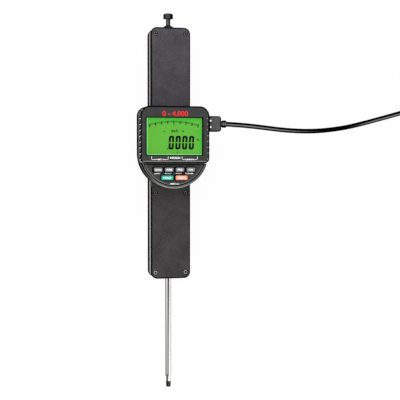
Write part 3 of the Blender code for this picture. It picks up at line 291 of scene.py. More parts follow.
@dataclass(frozen=True)
class Coat(Finish):
    """A fine-grained coat or moulded skin, with painted shade where the surface turns away from the front
    and, where set, painted highlights on faces turned aside, up or down.
    """

    name: str
    face: Colour
    # edge is painted shade on faces that turn away from the front; on a few skins it is a painted highlight
    # instead
    edge: Colour = shade(2, 2, 2)
    roughness: float = 0.6
    grain: float = 3200.0
    depth: float = 0.2
    gloss: float = 0.0
    spread: float = 0.16
    # aside, above and below are painted highlights on faces turned sideways, up and down
    aside: Colour | None = None
    above: Colour | None = None
    below: Colour | None = None
    turn: Spot = (0.95, 0.999)
    across: Spot = (0.8, 0.97)
    fall: Spot = (-0.25, -0.6)
    # lean tilts the painted highlight towards one side; away is a lighter painted shade on end and right
    # walls
    lean: Spot = (0.0, 0.0)
    away: Colour | None = None
    ends: Spot = (0.6, 0.9)
    climb: Spot = (0.25, 0.6)
    uneven: float = 0.08

    def walls(self, tree: Tree, colour: Any) -> Any:
        """The painted edge shade, made lighter on the end and right walls.

        Args:
            tree: The material's tree.
            colour: The colour of the other walls.

        Returns:
            The colour or its wire.
        """
        if not self.away:
            return colour
        lighter = tree.normal("Y").size().rise(*self.ends).most(tree.normal("X").rise(*self.ends))
        return tree.mix(colour, self.away, lighter)

    def side(self, tree: Tree, spot: Wire) -> Any:
        """The painted shade and painted highlights where the surface turns away from the front.

        Args:
            tree: The material's tree.
            spot: The point on the piece, for finishes that change with it; not used by this plain coat.

        Returns:
            The colour or its wire.
        """
        colour = self.walls(tree, self.edge)
        if self.aside:
            colour = tree.mix(colour, self.aside, tree.normal("X").size().rise(*self.across))
        if self.above:
            colour = tree.mix(colour, self.above, tree.normal("Y").rise(*self.climb))
        if self.below:
            colour = tree.mix(colour, self.below, tree.normal("Y").rise(*self.fall))
        return colour

    def wire(self, tree: Tree) -> None:
        """Builds the finish's nodes.

        Args:
            tree: The material's empty tree.
        """
        spot = tree.place()
        fine = tree.noise(spot, self.grain, 3.0)
        cloud = tree.noise(spot, CLOUD, 3.0)
        tone = fine * 0.6 + cloud * 0.4
        low = tuple(c * (1 - self.spread) for c in self.face)
        high = tuple(c * (1 + self.spread) for c in self.face)
        front = tree.mix(low, high, tone.rise(*NOISE_SPAN))
        facing = tree.normal("Z")
        for axis, degrees in zip("XY", self.lean):
            if degrees:
                lean = math.radians(degrees)
                facing = facing * math.cos(lean) + tree.normal(axis) * math.sin(lean)
        # Painted shade and highlights: the side colours take over as the surface turns away from the front
        turned_to = facing.size().rise(*self.turn)
        tree.surface({
            "Base Color": tree.mix(self.side(tree, spot), front, turned_to),
            "Roughness": self.roughness - self.uneven + 2 * self.uneven * fine,
            "Specular IOR Level": self.gloss,
            "Normal": tree.bump(fine, self.depth, 0.02 * MM),
        })


@dataclass(frozen=True)
class BandedCoat(Coat):
    """A coat whose long sides carry a painted highlight band near the front and painted shade towards the
    back, more so below.
    """

    # pale and bright are the painted highlight band, brighter further down
    pale: Colour = (0.2, 0.2, 0.2)
    bright: Colour = (0.3, 0.3, 0.3)
    low: float = 0.0
    high: float = 1.0
    rising: float = 1.2 * MM
    across: Spot = (0.8, 0.98)
    along: Spot = (40 * MM, -60 * MM)

    def side(self, tree: Tree, spot: Wire) -> Any:
        """The painted shade and the painted highlight band where the surface turns away from the front.

        Args:
            tree: The material's tree.
            spot: The point on the piece.

        Returns:
            The colour's wire.
        """
        down = tree.part(spot, "Y").rise(*self.along)
        height = (tree.part(spot, "Z") - down * self.rising).rise(self.low, self.high)
        across = tree.normal("X").size().rise(*self.across)
        return tree.mix(self.walls(tree, self.edge), tree.mix(self.pale, self.bright, down), height * across)


@dataclass(frozen=True)
class Metal(Finish):
    """Ground or turned metal with fine marks across its length."""

    name: str
    tint: Colour
    roughness: float = 0.2
    stretch: tuple[float, float, float] = (60.0, 5000.0, 60.0)
    contrast: float = 0.12
    uneven: float = 0.06

    def tone(self, tree: Tree, colour: Wire) -> Wire:
        """The metal's colour, unless a finish changes it."""
        return colour

    def wire(self, tree: Tree) -> None:
        """Builds the finish's nodes.

        Args:
            tree: The material's empty tree.
        """
        marks = tree.noise(tree.place(self.stretch), 1.0, 4.0)
        smear = tree.noise(tree.place(), CLOUD, 3.0)
        low = tuple(c * (1 - self.contrast) for c in self.tint)
        high = tuple(min(1.0, c * (1 + self.contrast)) for c in self.tint)
        colour = tree.mix(low, high, (marks * 0.7 + smear * 0.3).rise(*NOISE_SPAN))
        tree.surface({
            "Base Color": self.tone(tree, colour),
            "Metallic": 1.0,
            "Roughness": self.roughness - self.uneven + 2 * self.uneven * smear,
            "Normal": tree.bump(marks, 0.12, 0.01 * MM),
        })


@dataclass(frozen=True)
class Rod(Metal):
    """Ground rod, with a painted reflection of a dark half of the room: greyer on one side, dark at its rims
    and along a line.
    """

    # grey, rim and line are painted reflection colours, placed by the surface's turn and by height
    grey: Colour = (0.4, 0.4, 0.4)
    rim: Colour = (0.1, 0.1, 0.1)
    line: Colour = (0.02, 0.02, 0.02)
    near: float = -0.12
    far: float = -0.22
    split: float = 0.0
    foot: float = 0.75
    band: tuple[Spot, Spot] = ((-0.2, -0.32), (-0.68, -0.55))
    outer: Spot = (-0.5, -0.65)
    rims: tuple[Spot, Spot] = ((-0.8, -0.93), (0.33, 0.5))
    # end darkens the lower left near the shoulder, a painted reflection
    end: tuple[Spot, Spot] = ((-223.3 * MM, -226.5 * MM), (0.0, -0.4))
    line_at: float = -0.12
    line_span: Spot = (0.25, 0.15)

    def tone(self, tree: Tree, colour: Wire) -> Wire:
        """The metal's colour with painted reflections.

        Args:
            tree: The material's tree.
            colour: The plain metal's colour.

        Returns:
            The changed colour.
        """
        across = tree.normal("X")
        along = tree.part(tree.place(), "Y")
        down = along.rise(self.near, self.far)
        band = across.rise(*self.band[0]) * across.rise(*self.band[1]) * 0.95
        outer = across.rise(*self.outer) * (0.4 + 0.6 * down)
        lower = across.rise(self.split + 0.06, self.split - 0.03) * down
        shaded = tree.mix(colour, self.grey, band.most(outer).most(lower))
        left, right = (across.rise(*span) for span in self.rims)
        rims = (left * (1 - 0.5 * down)).most(right * 0.3)
        end = along.rise(*self.end[0]) * across.rise(*self.end[1]) * self.foot
        rimmed = tree.mix(shaded, self.rim, rims.most(end))
        line = (across - self.line_at).size().rise(*self.line_span) * (1 - down)
        return tree.mix(rimmed, self.line, line)


@dataclass(frozen=True)
class Ink(Finish):
    """Printing ink, a little uneven."""

    name: str
    tint: Colour
    gloss: float = 0.1

    def wire(self, tree: Tree) -> None:
        """Builds the finish's nodes.

        Args:
            tree: The material's empty tree.
        """
        patch = tree.noise(tree.place(), 1500.0, 2.0)
        tree.surface({
            "Base Color": tree.mix(tuple(c * 0.9 for c in self.tint), self.tint, patch.rise(0.3, 0.6)),
            "Roughness": 0.45 + 0.15 * patch,
            "Specular IOR Level": self.gloss,
        })


@dataclass(frozen=True)
class LitCell(Finish):
    """The lit green liquid crystal cell, cooler along its top and its right side, with a painted highlight
    along its left and bottom edges.
    """

    name: str
    cool: Colour
    warm: Colour
    rim: Colour
    left: float
    right: float
    bottom: float
    top: float
    # The glow stands for a backlight; it is set high and the lit colour kept low so the frame's shade barely
    # darkens the cell, which is painted light
    glow: float = 1.6
    level: float = 0.34
    margin: Spot = (1.3 * MM, 0.5 * MM)
    fade: Spot = (7 * MM, 6 * MM)
    haze: float = 0.4
    rim_share: float = 0.9

    def wire(self, tree: Tree) -> None:
        """Builds the finish's nodes.

        Args:
            tree: The material's empty tree.
        """
        spot = tree.place()
        across = tree.part(spot, "X")
        along = tree.part(spot, "Y")
        below, aside = self.fade
        inward = along.rise(self.top - MM, self.top - below) * across.rise(self.right, self.right - aside)
        haze = (tree.noise(spot, 90.0, 2.0) - 0.5) * self.haze
        lit = tree.mix(self.cool, self.warm, inward + haze)
        # Painted highlight along the left and bottom edges
        edge = (across - self.left).size().rise(*self.margin)
        edge = edge.most((along - self.bottom).size().rise(*self.margin))
        colour = tree.mix(tree.mix(lit, self.rim, edge * self.rim_share), (0.0, 0.0, 0.0), 1 - self.level)
        weave = tree.noise(spot, 5200.0, 1.0)
        tree.surface({
            "Base Color": colour,
            "Roughness": 0.3 + 0.2 * weave,
            "Specular IOR Level": 0.1,
            "Emission Color": colour,
            "Emission Strength": self.glow,
        })


@dataclass(frozen=True)
class Pane(Finish):
    """Clear glass, seen by its gloss and by a faint film."""

    name: str
    tint: Colour
    film: float = 0.002

    def wire(self, tree: Tree) -> None:
        """Builds the finish's nodes.

        Args:
            tree: The material's empty tree.
        """
        smear = tree.noise(tree.place(), 60.0, 3.0)
        tree.surface({
            "Base Color": self.tint,
            "Roughness": 0.04 + 0.08 * smear,
            "Alpha": self.film + 0.004 * smear,
            "Specular IOR Level": 0.06,
        })


@dataclass(frozen=True)
class Board(Finish):
    """Solder mask with faint tracks."""

    name: str
    tint: Colour
    track: Colour

    def wire(self, tree: Tree) -> None:
        """Builds the finish's nodes.

        Args:
            tree: The material's empty tree.
        """
        spot = tree.place()
        rows = tree.node("ShaderNodeTexWave", {"bands_direction": "Y"}, {
            "Vector": spot, "Scale": 260.0, "Distortion": 3.0, "Detail": 1.0,
        }, "Fac")
        tree.surface({
            "Base Color": tree.mix(self.tint, self.track, rows.rise(0.7, 0.9)),
            "Roughness": 0.35 + 0.2 * tree.noise(spot, 400.0),
        })


@dataclass(frozen=True)
class Weave(Finish):
    """Woven hook and loop strap."""

    name: str
    tint: Colour

    def wire(self, tree: Tree) -> None:
        """Builds the finish's nodes.

        Args:
            tree: The material's empty tree.
        """
        spot = tree.place()
        loops = tree.node("ShaderNodeTexVoronoi", {}, {"Vector": spot, "Scale": 1600.0}, "Distance")
        fuzz = tree.noise(spot, 900.0, 4.0)
        tree.surface({
            "Base Color": tree.mix(self.tint, tuple(c * 2.2 for c in self.tint), loops.rise(0.2, 0.7)),
            "Roughness": 0.8 + 0.15 * fuzz,
            "Normal": tree.bump(loops + fuzz * 0.5, 0.6, 0.1 * MM),
        })


# The black and dark greys here are painted shade on edges, grooves and walls; the pale tan one is a painted
# highlight on groove ramps; the other colours are the parts' own.
BLACK = shade(2, 2, 2)
PAINTED_SHADE = shade(3, 3, 3)
DARK = shade(24, 24, 24)
WALL = shade(44, 43, 44)
SMOKE = shade(59, 57, 60)
TICK_HIGHLIGHT = shade(205, 198, 184)
ROUND = (0.75, 0.985)
CHROMED = (0.95, 0.94, 0.92)
# Painted light: the upper cover is painted lighter than the lower one, though both are the same black casting
UPPER_COAT = Coat("upper_coat", shade(69, 67, 71), grain=1200.0, depth=0.35, spread=0.3, away=WALL)
LOWER_COAT = Coat("lower_coat", shade(59, 57, 58), grain=1200.0, depth=0.35, spread=0.3, away=WALL)
PLAIN_COAT = Coat("plain_coat", SMOKE, SMOKE, grain=2600.0, depth=0.35)
# Painted shade on the boss's rounded edge
BOSS_COAT = Coat("boss_coat", shade(72, 71, 73), DARK, grain=2600.0, depth=0.35, turn=ROUND)
# Painted highlight band along the housing's long sides, with painted shade behind it and on its edges
HOUSING_COAT = BandedCoat(
    "housing_coat", shade(55, 54, 55), PAINTED_SHADE, grain=2600.0, depth=0.3, away=WALL,
    pale=shade(132, 131, 129), bright=shade(156, 155, 152), low=9.2 * MM, high=11.0 * MM,
)
# Painted highlights on the bezel: aside on its sides, below on edges facing down; painted shade on its other
# edges and on the case's
SHELL_SKIN = Coat(
    "shell_skin", shade(58, 57, 58), roughness=0.55, depth=0.3,
    aside=shade(84, 83, 81), below=shade(142, 142, 140), away=WALL,
)
CASE_SKIN = Coat("case_skin", shade(40, 40, 40), roughness=0.55, depth=0.3, away=WALL)
# Groove floors painted black as shade, with a painted highlight on the walls facing up
GROOVE_SKIN = Coat("groove_skin", BLACK, above=shade(240, 237, 230))
CORNER_SKIN = Coat("corner_skin", BLACK, above=shade(128, 126, 122))
# Painted highlight on the ramps where the right side's grooves run out
TICK_SKIN = Coat("tick_skin", TICK_HIGHLIGHT, TICK_HIGHLIGHT)
# Lip groove painted black as shade, with a painted highlight on its sloped wall
LIP_SKIN = Coat("lip_skin", BLACK, below=shade(146, 145, 142))
# Painted light on the keypad: aside is a painted highlight on the tray's side walls, the arc's below a
# painted highlight on the rim's lower edge, the panel's edge a painted highlight
TRAY_SKIN = Coat(
    "tray_skin", shade(86, 86, 85), roughness=0.5, aside=shade(68, 67, 66), across=(0.35, 0.6), away=WALL,
)
ARC_SKIN = Coat(
    "arc_skin", shade(92, 92, 91), PAINTED_SHADE, 0.5, below=shade(142, 141, 138), fall=(-0.5, -0.75),
)
PANEL_SKIN = Coat("panel_skin", shade(62, 62, 61), shade(138, 138, 136), 0.55, 3000.0, gloss=0.05)
# Painted shade: black put into sockets, counterbores, the window's step and the tray's recess floor
SLOT_BLACK = Coat("slot_black", shade(4, 4, 4), roughness=0.8, grain=2500.0)
KEY_BLACK = Coat("key_black", shade(6, 6, 6), grain=3600.0)
# Key tops with painted shade on their eased edges
KEY_GREY = Coat("key_grey", shade(112, 114, 117), shade(104, 106, 108), 0.5, 3600.0, 0.15, 0.4)
KEY_TEAL = Coat("key_teal", shade(38, 164, 142), shade(28, 124, 108), 0.5, 3600.0, 0.15, 0.4)
KEY_SALMON = Coat("key_salmon", shade(238, 140, 114), shade(180, 90, 76), 0.5, 3600.0, 0.15, 0.4)
# Painted highlight stripe on the round cap and stem, turned towards the left, with painted shade on their
# sides
CAP_BLACK = Coat(
    "cap_black", shade(64, 63, 64), BLACK, 0.5, 1500.0, 0.3, spread=0.5, turn=(0.7, 0.97), lean=(-17.0, 0.0),
)
STEM_BLACK = Coat("stem_black", shade(86, 86, 86), PAINTED_SHADE, 0.4, 2200.0, turn=(0.72, 0.98), lean=(-18.0, 0.0))
# Painted glint: the blackened screw heads are painted light grey; the paler copy for the lower screws adds a
# painted bright ring on the chamfer
SCREW_COAT = Coat("screw_coat", shade(172, 171, 172), DARK, 0.5, 3000.0, gloss=0.05)
PALE_SCREW = Coat("pale_screw", shade(175, 174, 174), shade(190, 188, 186), 0.5, 3000.0, gloss=0.1)
# Painted shade on the connector's and relief's edges, with a painted highlight along the relief's top
PLUG_SKIN = Coat("plug_skin", shade(76, 75, 76), PAINTED_SHADE, 0.5, 2800.0, 0.35, away=WALL)
RELIEF_SKIN = Coat("relief_skin", shade(98, 97, 98), PAINTED_SHADE, 0.5, 2800.0, 0.35, turn=(0.85, 0.99))
# Painted highlight along the cable, a little below its top, with painted shade on its sides
SHEATH = Coat(
    "cable_sheath_skin", shade(114, 113, 113), shade(4, 4, 4), 0.45, 1800.0, turn=(0.95, 0.992),
    lean=(0.0, -11.0),
)
RUBBER = Coat("soft_rubber_skin", shade(30, 30, 30), shade(26, 26, 26), 0.85, 1500.0, 0.4, 0.2)
DIFFUSER = Coat("white_diffuser", shade(228, 232, 226), shade(215, 218, 212), 0.5, 1200.0, 0.1, 0.4)
# Painted highlight on the black contact tip, with painted shade on its sides
TIP_BLACK = Coat("contact_black", shade(58, 58, 58), PAINTED_SHADE, 0.4, 2200.0, turn=ROUND)
# Painted reflections on the ground spindle and on the contact's neck
CHROME = Rod("ground_chrome", CHROMED, 0.16, grey=shade(172, 169, 165), rim=shade(40, 38, 36))
NECK_STEEL = Rod(
    "neck_steel", CHROMED, 0.16, grey=shade(98, 95, 92), rim=shade(60, 58, 55), near=0.0, far=-0.01,
    split=-0.33, foot=0.0,
)
SCREW_STEEL = Metal("screw_steel", (0.33, 0.33, 0.33), 0.3, (900.0, 900.0, 900.0))
BRIGHT_STEEL = Metal("bright_steel", (0.72, 0.72, 0.71), 0.25, (400.0, 3000.0, 400.0))
BRONZE = Metal("sintered_bronze", (0.52, 0.34, 0.15), 0.35, (500.0, 500.0, 500.0))
ALUMINIUM = Metal("machined_aluminium", (0.68, 0.68, 0.70), 0.3, (4000.0, 80.0, 4000.0))
INK_WHITE = Ink("white_print", shade(236, 236, 234))
INK_RED = Ink("red_print", shade(214, 44, 44))
INK_BLACK = Ink("crystal_black", shade(1, 3, 1), 0.0)
INK_FAINT = Ink("crystal_faint", shade(3, 24, 5), 0.0)
# Near-white print for the captions, also a painted glint on the connector's screws
PALE_PRINT_AND_GLINT = Ink("pale_print", shade(252, 252, 251))
GLASS = Pane("window_glass", (0.85, 0.9, 0.88))
# The third colour is the painted highlight along the cell's left and bottom edges
CELL = LitCell(
    "lit_crystal", shade(78, 193, 60), shade(96, 186, 55), shade(140, 250, 140),
    -27.5 * MM, 27.5 * MM, -1.4 * MM, 34.3 * MM,
)
BOARD = Board("solder_mask", (0.03, 0.16, 0.07), (0.06, 0.26, 0.12))
STRAP = Weave("hook_and_loop", (0.02, 0.02, 0.02))


def alone(piece: Object | None = None) -> None:
    """Selects only this piece, or nothing.

    Args:
        piece: The piece, which also becomes the active one.
    """
    bpy.ops.object.select_all(action="DESELECT")
    if piece:
        piece.select_set(True)
        bpy.context.view_layer.objects.active = piece


@contextmanager
def edit_mode(piece: Object) -> Iterator[None]:
    """Edit mode on one piece.

    Args:
        piece: The piece.

    Yields:
        Nothing, while the piece is in edit mode.
    """
    alone(piece)
    bpy.ops.object.mode_set(mode="EDIT")
    bpy.ops.mesh.select_mode(type="VERT")
    yield
    bpy.ops.object.mode_set(mode="OBJECT")


def named(piece: Object, name: str) -> Object:
    """Gives a piece and its mesh their name.

    Args:
        piece: The piece.
        name: The name.

    Returns:
        The piece.
    """
    piece.name = name
    piece.data.name = name
    return piece


def linked(piece: Object) -> Object:
    """Puts an object into the scene."""
    bpy.context.scene.collection.objects.link(piece)
    return piece


def scrap(*pieces: Object) -> None:
    """Removes objects that have served."""
    for piece in pieces:
        bpy.data.objects.remove(piece, do_unlink=True)


def paint(piece: Object, finish: Finish) -> Object:
    """Adds a finish to a piece's materials."""
    piece.data.materials.append(painted(finish))
    return piece


def pick_all() -> None:
    """Selects everything in edit mode."""
    bpy.ops.mesh.select_all(action="SELECT")


def pick(piece: Object, level: Level, test: Test) -> None:
    """Selects, in edit mode, only what passes the test.

    Args:
        piece: The piece in edit mode.
        level: Points, edges or faces.
        test: Says whether an item is picked.
    """
    bpy.ops.mesh.select_mode(type=level.value)
    bpy.ops.mesh.select_all(action="DESELECT")
    shape = bmesh.from_edit_mesh(piece.data)
    items = {Level.POINTS: shape.verts, Level.EDGES: shape.edges, Level.FACES: shape.faces}[level]
    for item in items:
        if test(item):
            item.select_set(True)
    shape.select_flush_mode()
    bmesh.update_edit_mesh(piece.data)


def shift_points(piece: Object, test: Test, shift: Place) -> None:
    """Moves, in edit mode, the points that pass the test."""
    pick(piece, Level.POINTS, test)
    bpy.ops.transform.translate(value=shift)


def at_corner(x: float, y: float) -> Test:
    """Whether a point stands at x, y."""
    return lambda point: math.hypot(point.co.x - x, point.co.y - y) < NEAR


def rim_at(height: float) -> Test:
    """Whether an edge bounds a level face at this height.

    Args:
        height: The face's height.

    Returns:
        The test.
    """
    def test(edge: Any) -> bool:
        """Whether this edge does."""
        level = all(abs(point.co.z - height) < NEAR for point in edge.verts)
        return level and any(abs(face.normal.z) < 0.5 for face in edge.link_faces)
    return test


def face_at(height: float) -> Test:
    """Whether a face lies level at this height."""
    return lambda face: abs(face.normal.z) > 0.99 and abs(face.calc_center_median().z - height) < NEAR


def middle_of(node: str) -> Vector:
    """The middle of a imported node's box."""
    low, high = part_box(node)
    return (low + high) / 2


def start(kind: str, name: str, stretch: Place = (1.0, 1.0, 1.0), **settings: Any) -> Object:
    """Adds a primitive with its place and size in its mesh.

    Args:
        kind: The primitive's name, such as cube.
        name: The piece's name.
        stretch: Its size along X, Y and Z, times the operator's own.
        **settings: What the operator takes.

    Returns:
        The new object.
    """
    alone()
    getattr(bpy.ops.mesh, f"primitive_{kind}_add")(**settings)
    piece = named(bpy.context.object, name)
    piece.scale = stretch
    bpy.ops.object.transform_apply(location=True, rotation=True, scale=True)
    return piece


def slab(
    name: str, low: Place, high: Place, corners: Sequence[float] = SQUARE, rim: float = 0.0,
    foot: float = 0.0, corner_steps: int = 10, rim_steps: int = 3,
) -> Object:
    """A block with rounded corners seen from the front, and eased edges.

    Args:
        name: The piece's name.
        low: Its lowest corner.
        high: Its highest corner.
        corners: Radii at lower left, lower right, upper right and upper left.
        rim: Radius of the front edge.
        foot: Radius of the back edge.
        corner_steps: Segments of a corner.
        rim_steps: Segments of an edge.

    Returns:
        The new object.
    """
    centre = ((low[0] + high[0]) / 2, (low[1] + high[1]) / 2, low[2])
    piece = start("plane", name, (high[0] - low[0], high[1] - low[1], 1.0), size=1.0, location=centre)
    spots = ((low[0], low[1]), (high[0], low[1]), (high[0], high[1]), (low[0], high[1]))
    with edit_mode(piece):
        for (x, y), radius in zip(spots, corners):
            if radius:
                pick(piece, Level.POINTS, at_corner(x, y))
                bpy.ops.mesh.bevel(offset=radius, segments=corner_steps, affect="VERTICES")
        pick_all()
        bpy.ops.mesh.remove_doubles(threshold=NEAR)
        bpy.ops.mesh.select_mode(type="FACE")
        pick_all()
        bpy.ops.mesh.extrude_region_move(TRANSFORM_OT_translate={"value": (0, 0, high[2] - low[2])})
        pick_all()
        bpy.ops.mesh.normals_make_consistent(inside=False)
        for height, radius in ((high[2], rim), (low[2], foot)):
            if radius:
                pick(piece, Level.EDGES, rim_at(height))
                bpy.ops.mesh.bevel(offset=radius, segments=rim_steps, affect="EDGES")
    return piece


def eased(piece: Object, height: float, width: float, drop: float) -> None:
    """Raises a level face inside a sloped strip along its edge.

    Args:
        piece: The piece.
        height: Where the face lies before.
        width: Width of the strip.
        drop: How far the face rises.
    """
    with edit_mode(piece):
        pick(piece, Level.FACES, face_at(height))
        bpy.ops.mesh.inset(thickness=width, depth=drop)


def weld() -> None:
    """Merges points that meet, in edit mode, and turns the faces outward."""
    pick_all()
    bpy.ops.mesh.remove_doubles(threshold=NEAR / 10)
    bpy.ops.mesh.normals_make_consistent(inside=False)


def turned(name: str, profile: Profile, base: Place, along: Along, steps: int = 40) -> Object:
    """A piece turned on a lathe.

    Args:
        name: The piece's name.
        profile: Radius and distance along the axis, from one end to the other.
        base: Where the distance is 0.
        along: The axis.
        steps: Segments round the axis.

    Returns:
        The new object.
    """
    axis, side = (Vector(v) for v in along.value)
    centre = Vector(base)
    points = [centre + side * radius + axis * reach for radius, reach in profile]
    piece = start("plane", name, size=MM, location=points[0])
    with edit_mode(piece):
        pick_all()
        bpy.ops.mesh.merge(type="CENTER")
        for before, after in zip(points, points[1:]):
            bpy.ops.mesh.extrude_vertices_move(TRANSFORM_OT_translate={"value": after - before})
        pick_all()
        bpy.ops.mesh.spin(steps=steps, angle=math.tau, center=centre, axis=axis)
        weld()
    return piece


def cut_off(piece: Object, level: float, side: int = 1) -> None:
    """Cuts a piece off beyond this Y and closes it with a flat face.

    Args:
        piece: The piece.
        level: Y of the cut.
        side: 1 to take off what is above, -1 to take off what is below.
    """
    with edit_mode(piece):
        pick_all()
        bpy.ops.mesh.bisect(plane_co=(0, level, 0), plane_no=(0, side, 0), use_fill=True, clear_outer=True)
        weld()


def joined(name: str, pieces: Sequence[Object]) -> Object:
    """One piece made of several.

    Args:
        name: The new piece's name.
        pieces: The pieces, which are used up.

    Returns:
        The joined piece.
    """
    alone()
    for piece in pieces:
        piece.select_set(True)
    bpy.context.view_layer.objects.active = pieces[0]
    if len(pieces) > 1:
        bpy.ops.object.join()
    return named(bpy.context.object, name)


def duplicate(piece: Object, name: str, shift: Place = (0.0, 0.0, 0.0)) -> Object:
    """A copy with a mesh of its own.

    Args:
        piece: What is copied.
        name: The copy's name.
        shift: How far the copy is moved in its mesh.

    Returns:
        The copy.
    """
    made = piece.copy()
    made.data = piece.data.copy()
    named(made, name)
    made.data.transform(Matrix.Translation(shift))
    return linked(made)


def traced(node: str, name: str) -> Object:
    """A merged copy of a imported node's mesh, apart from its body.

    Args:
        node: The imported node.
        name: The copy's name.

    Returns:
        The copy.
    """
    source = bpy.data.objects[node]
    made = bpy.data.objects.new(name, source.data.copy())
    made.data.name = name
    made.data.materials.clear()
    linked(made)
    with edit_mode(made):
        pick_all()
        bpy.ops.mesh.remove_doubles(threshold=NEAR / 20)
        bpy.ops.mesh.dissolve_limited(angle_limit=math.radians(0.5))
    return made


def carve(piece: Object, *cutters: Object) -> None:
    """Cuts the cutters out of the piece and removes them.

    Args:
        piece: The piece.
        *cutters: The cutters; one with a finish passes it on to the faces that it cuts.
    """
    for cutter in cutters:
        alone(piece)
        modifier = piece.modifiers.new("carve", "BOOLEAN")
        modifier.object = cutter
        modifier.operation = "DIFFERENCE"
        if any(cutter.data.materials):
            modifier.material_mode = "TRANSFER"
        bpy.ops.object.modifier_apply(modifier=modifier.name)
        scrap(cutter)


def even(piece: Object, angle: float = 32.0) -> None:
    """Smooth shading on rounds, with flat faces kept flat.

    Args:
        piece: The piece.
        angle: Edges sharper than this many degrees stay sharp.
    """
    alone(piece)
    bpy.ops.object.shade_smooth_by_angle(angle=math.radians(angle))
    modifier = piece.modifiers.new("even", "WEIGHTED_NORMAL")
    modifier.keep_sharp = True
    bpy.ops.object.modifier_apply(modifier=modifier.name)


def give_faces(piece: Object, finish: Finish, test: Test) -> None:
    """Gives some faces a finish of their own.

    Args:
        piece: The piece.
        finish: The finish.
        test: Says whether a face gets it.
    """
    paint(piece, finish)
    with edit_mode(piece):
        pick(piece, Level.FACES, test)
        piece.active_material_index = len(piece.data.materials) - 1
        bpy.ops.object.material_slot_assign()


def dress(piece: Object, finish: Finish, body: str, slot: str, *nodes: str) -> Object:
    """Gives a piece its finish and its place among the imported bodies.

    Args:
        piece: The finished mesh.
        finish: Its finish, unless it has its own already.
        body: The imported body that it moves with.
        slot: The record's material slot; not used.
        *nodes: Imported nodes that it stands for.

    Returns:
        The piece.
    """
    if not piece.data.materials:
        paint(piece, finish)
    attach(piece, body)
    if nodes:
        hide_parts(*nodes)
    LOG.info("%s: %d faces on %s", piece.name, len(piece.data.polygons), body)
    return piece


def lettered(name: str, text: str, centre: Place, tall: float, wide: float, weight: float) -> Object:
    """Printed words, as a thin mesh on the face they are printed on.

    Args:
        name: The piece's name.
        text: The words.
        centre: The middle of the words, on the printed face.
        tall: Their height.
        wide: Their width.
        weight: How much heavier the strokes are, as a share of the type's size.

    Returns:
        The new object.
    """
    alone()
    bpy.ops.object.text_add()
    piece = bpy.context.object
    piece.data.body = text
    piece.data.extrude = 0.1
    piece.data.offset = weight
    piece.data.resolution_u = 4
    bpy.ops.object.convert(target="MESH")
    named(piece, name)
    low, high = (Vector(map(f, zip(*(v.co for v in piece.data.vertices)))) for f in (min, max))
    middle = (low + high) / 2
    span = high - low
    grow = Matrix.Diagonal((wide / span.x, tall / span.y, PRINT / span.z, 1.0))
    piece.data.transform(Matrix.Translation(centre) @ grow @ Matrix.Translation(-middle))
    return piece


def stroke(name: str, low: Spot, high: Spot, height: float, corner: float = 0.0, steps: int = 3) -> Object:
    """A printed bar on a level face."""
    bottom, top = (*low, height - PRINT / 2), (*high, height + PRINT / 2)
    return slab(name, bottom, top, (corner,) * 4, corner_steps=steps)


@dataclass(frozen=True)
class Word:
    """A printed word, in millimetres: its middle, height and width, and the weight of its strokes."""

    name: str
    text: str
    x: float
    y: float
    tall: float
    wide: float
    weight: float = 0.05

    def mesh(self, height: float) -> Object:
        """The word on a face at this height."""
        spot = (self.x * MM, self.y * MM, height)
        return lettered(self.name, self.text, spot, self.tall * MM, self.wide * MM, self.weight)


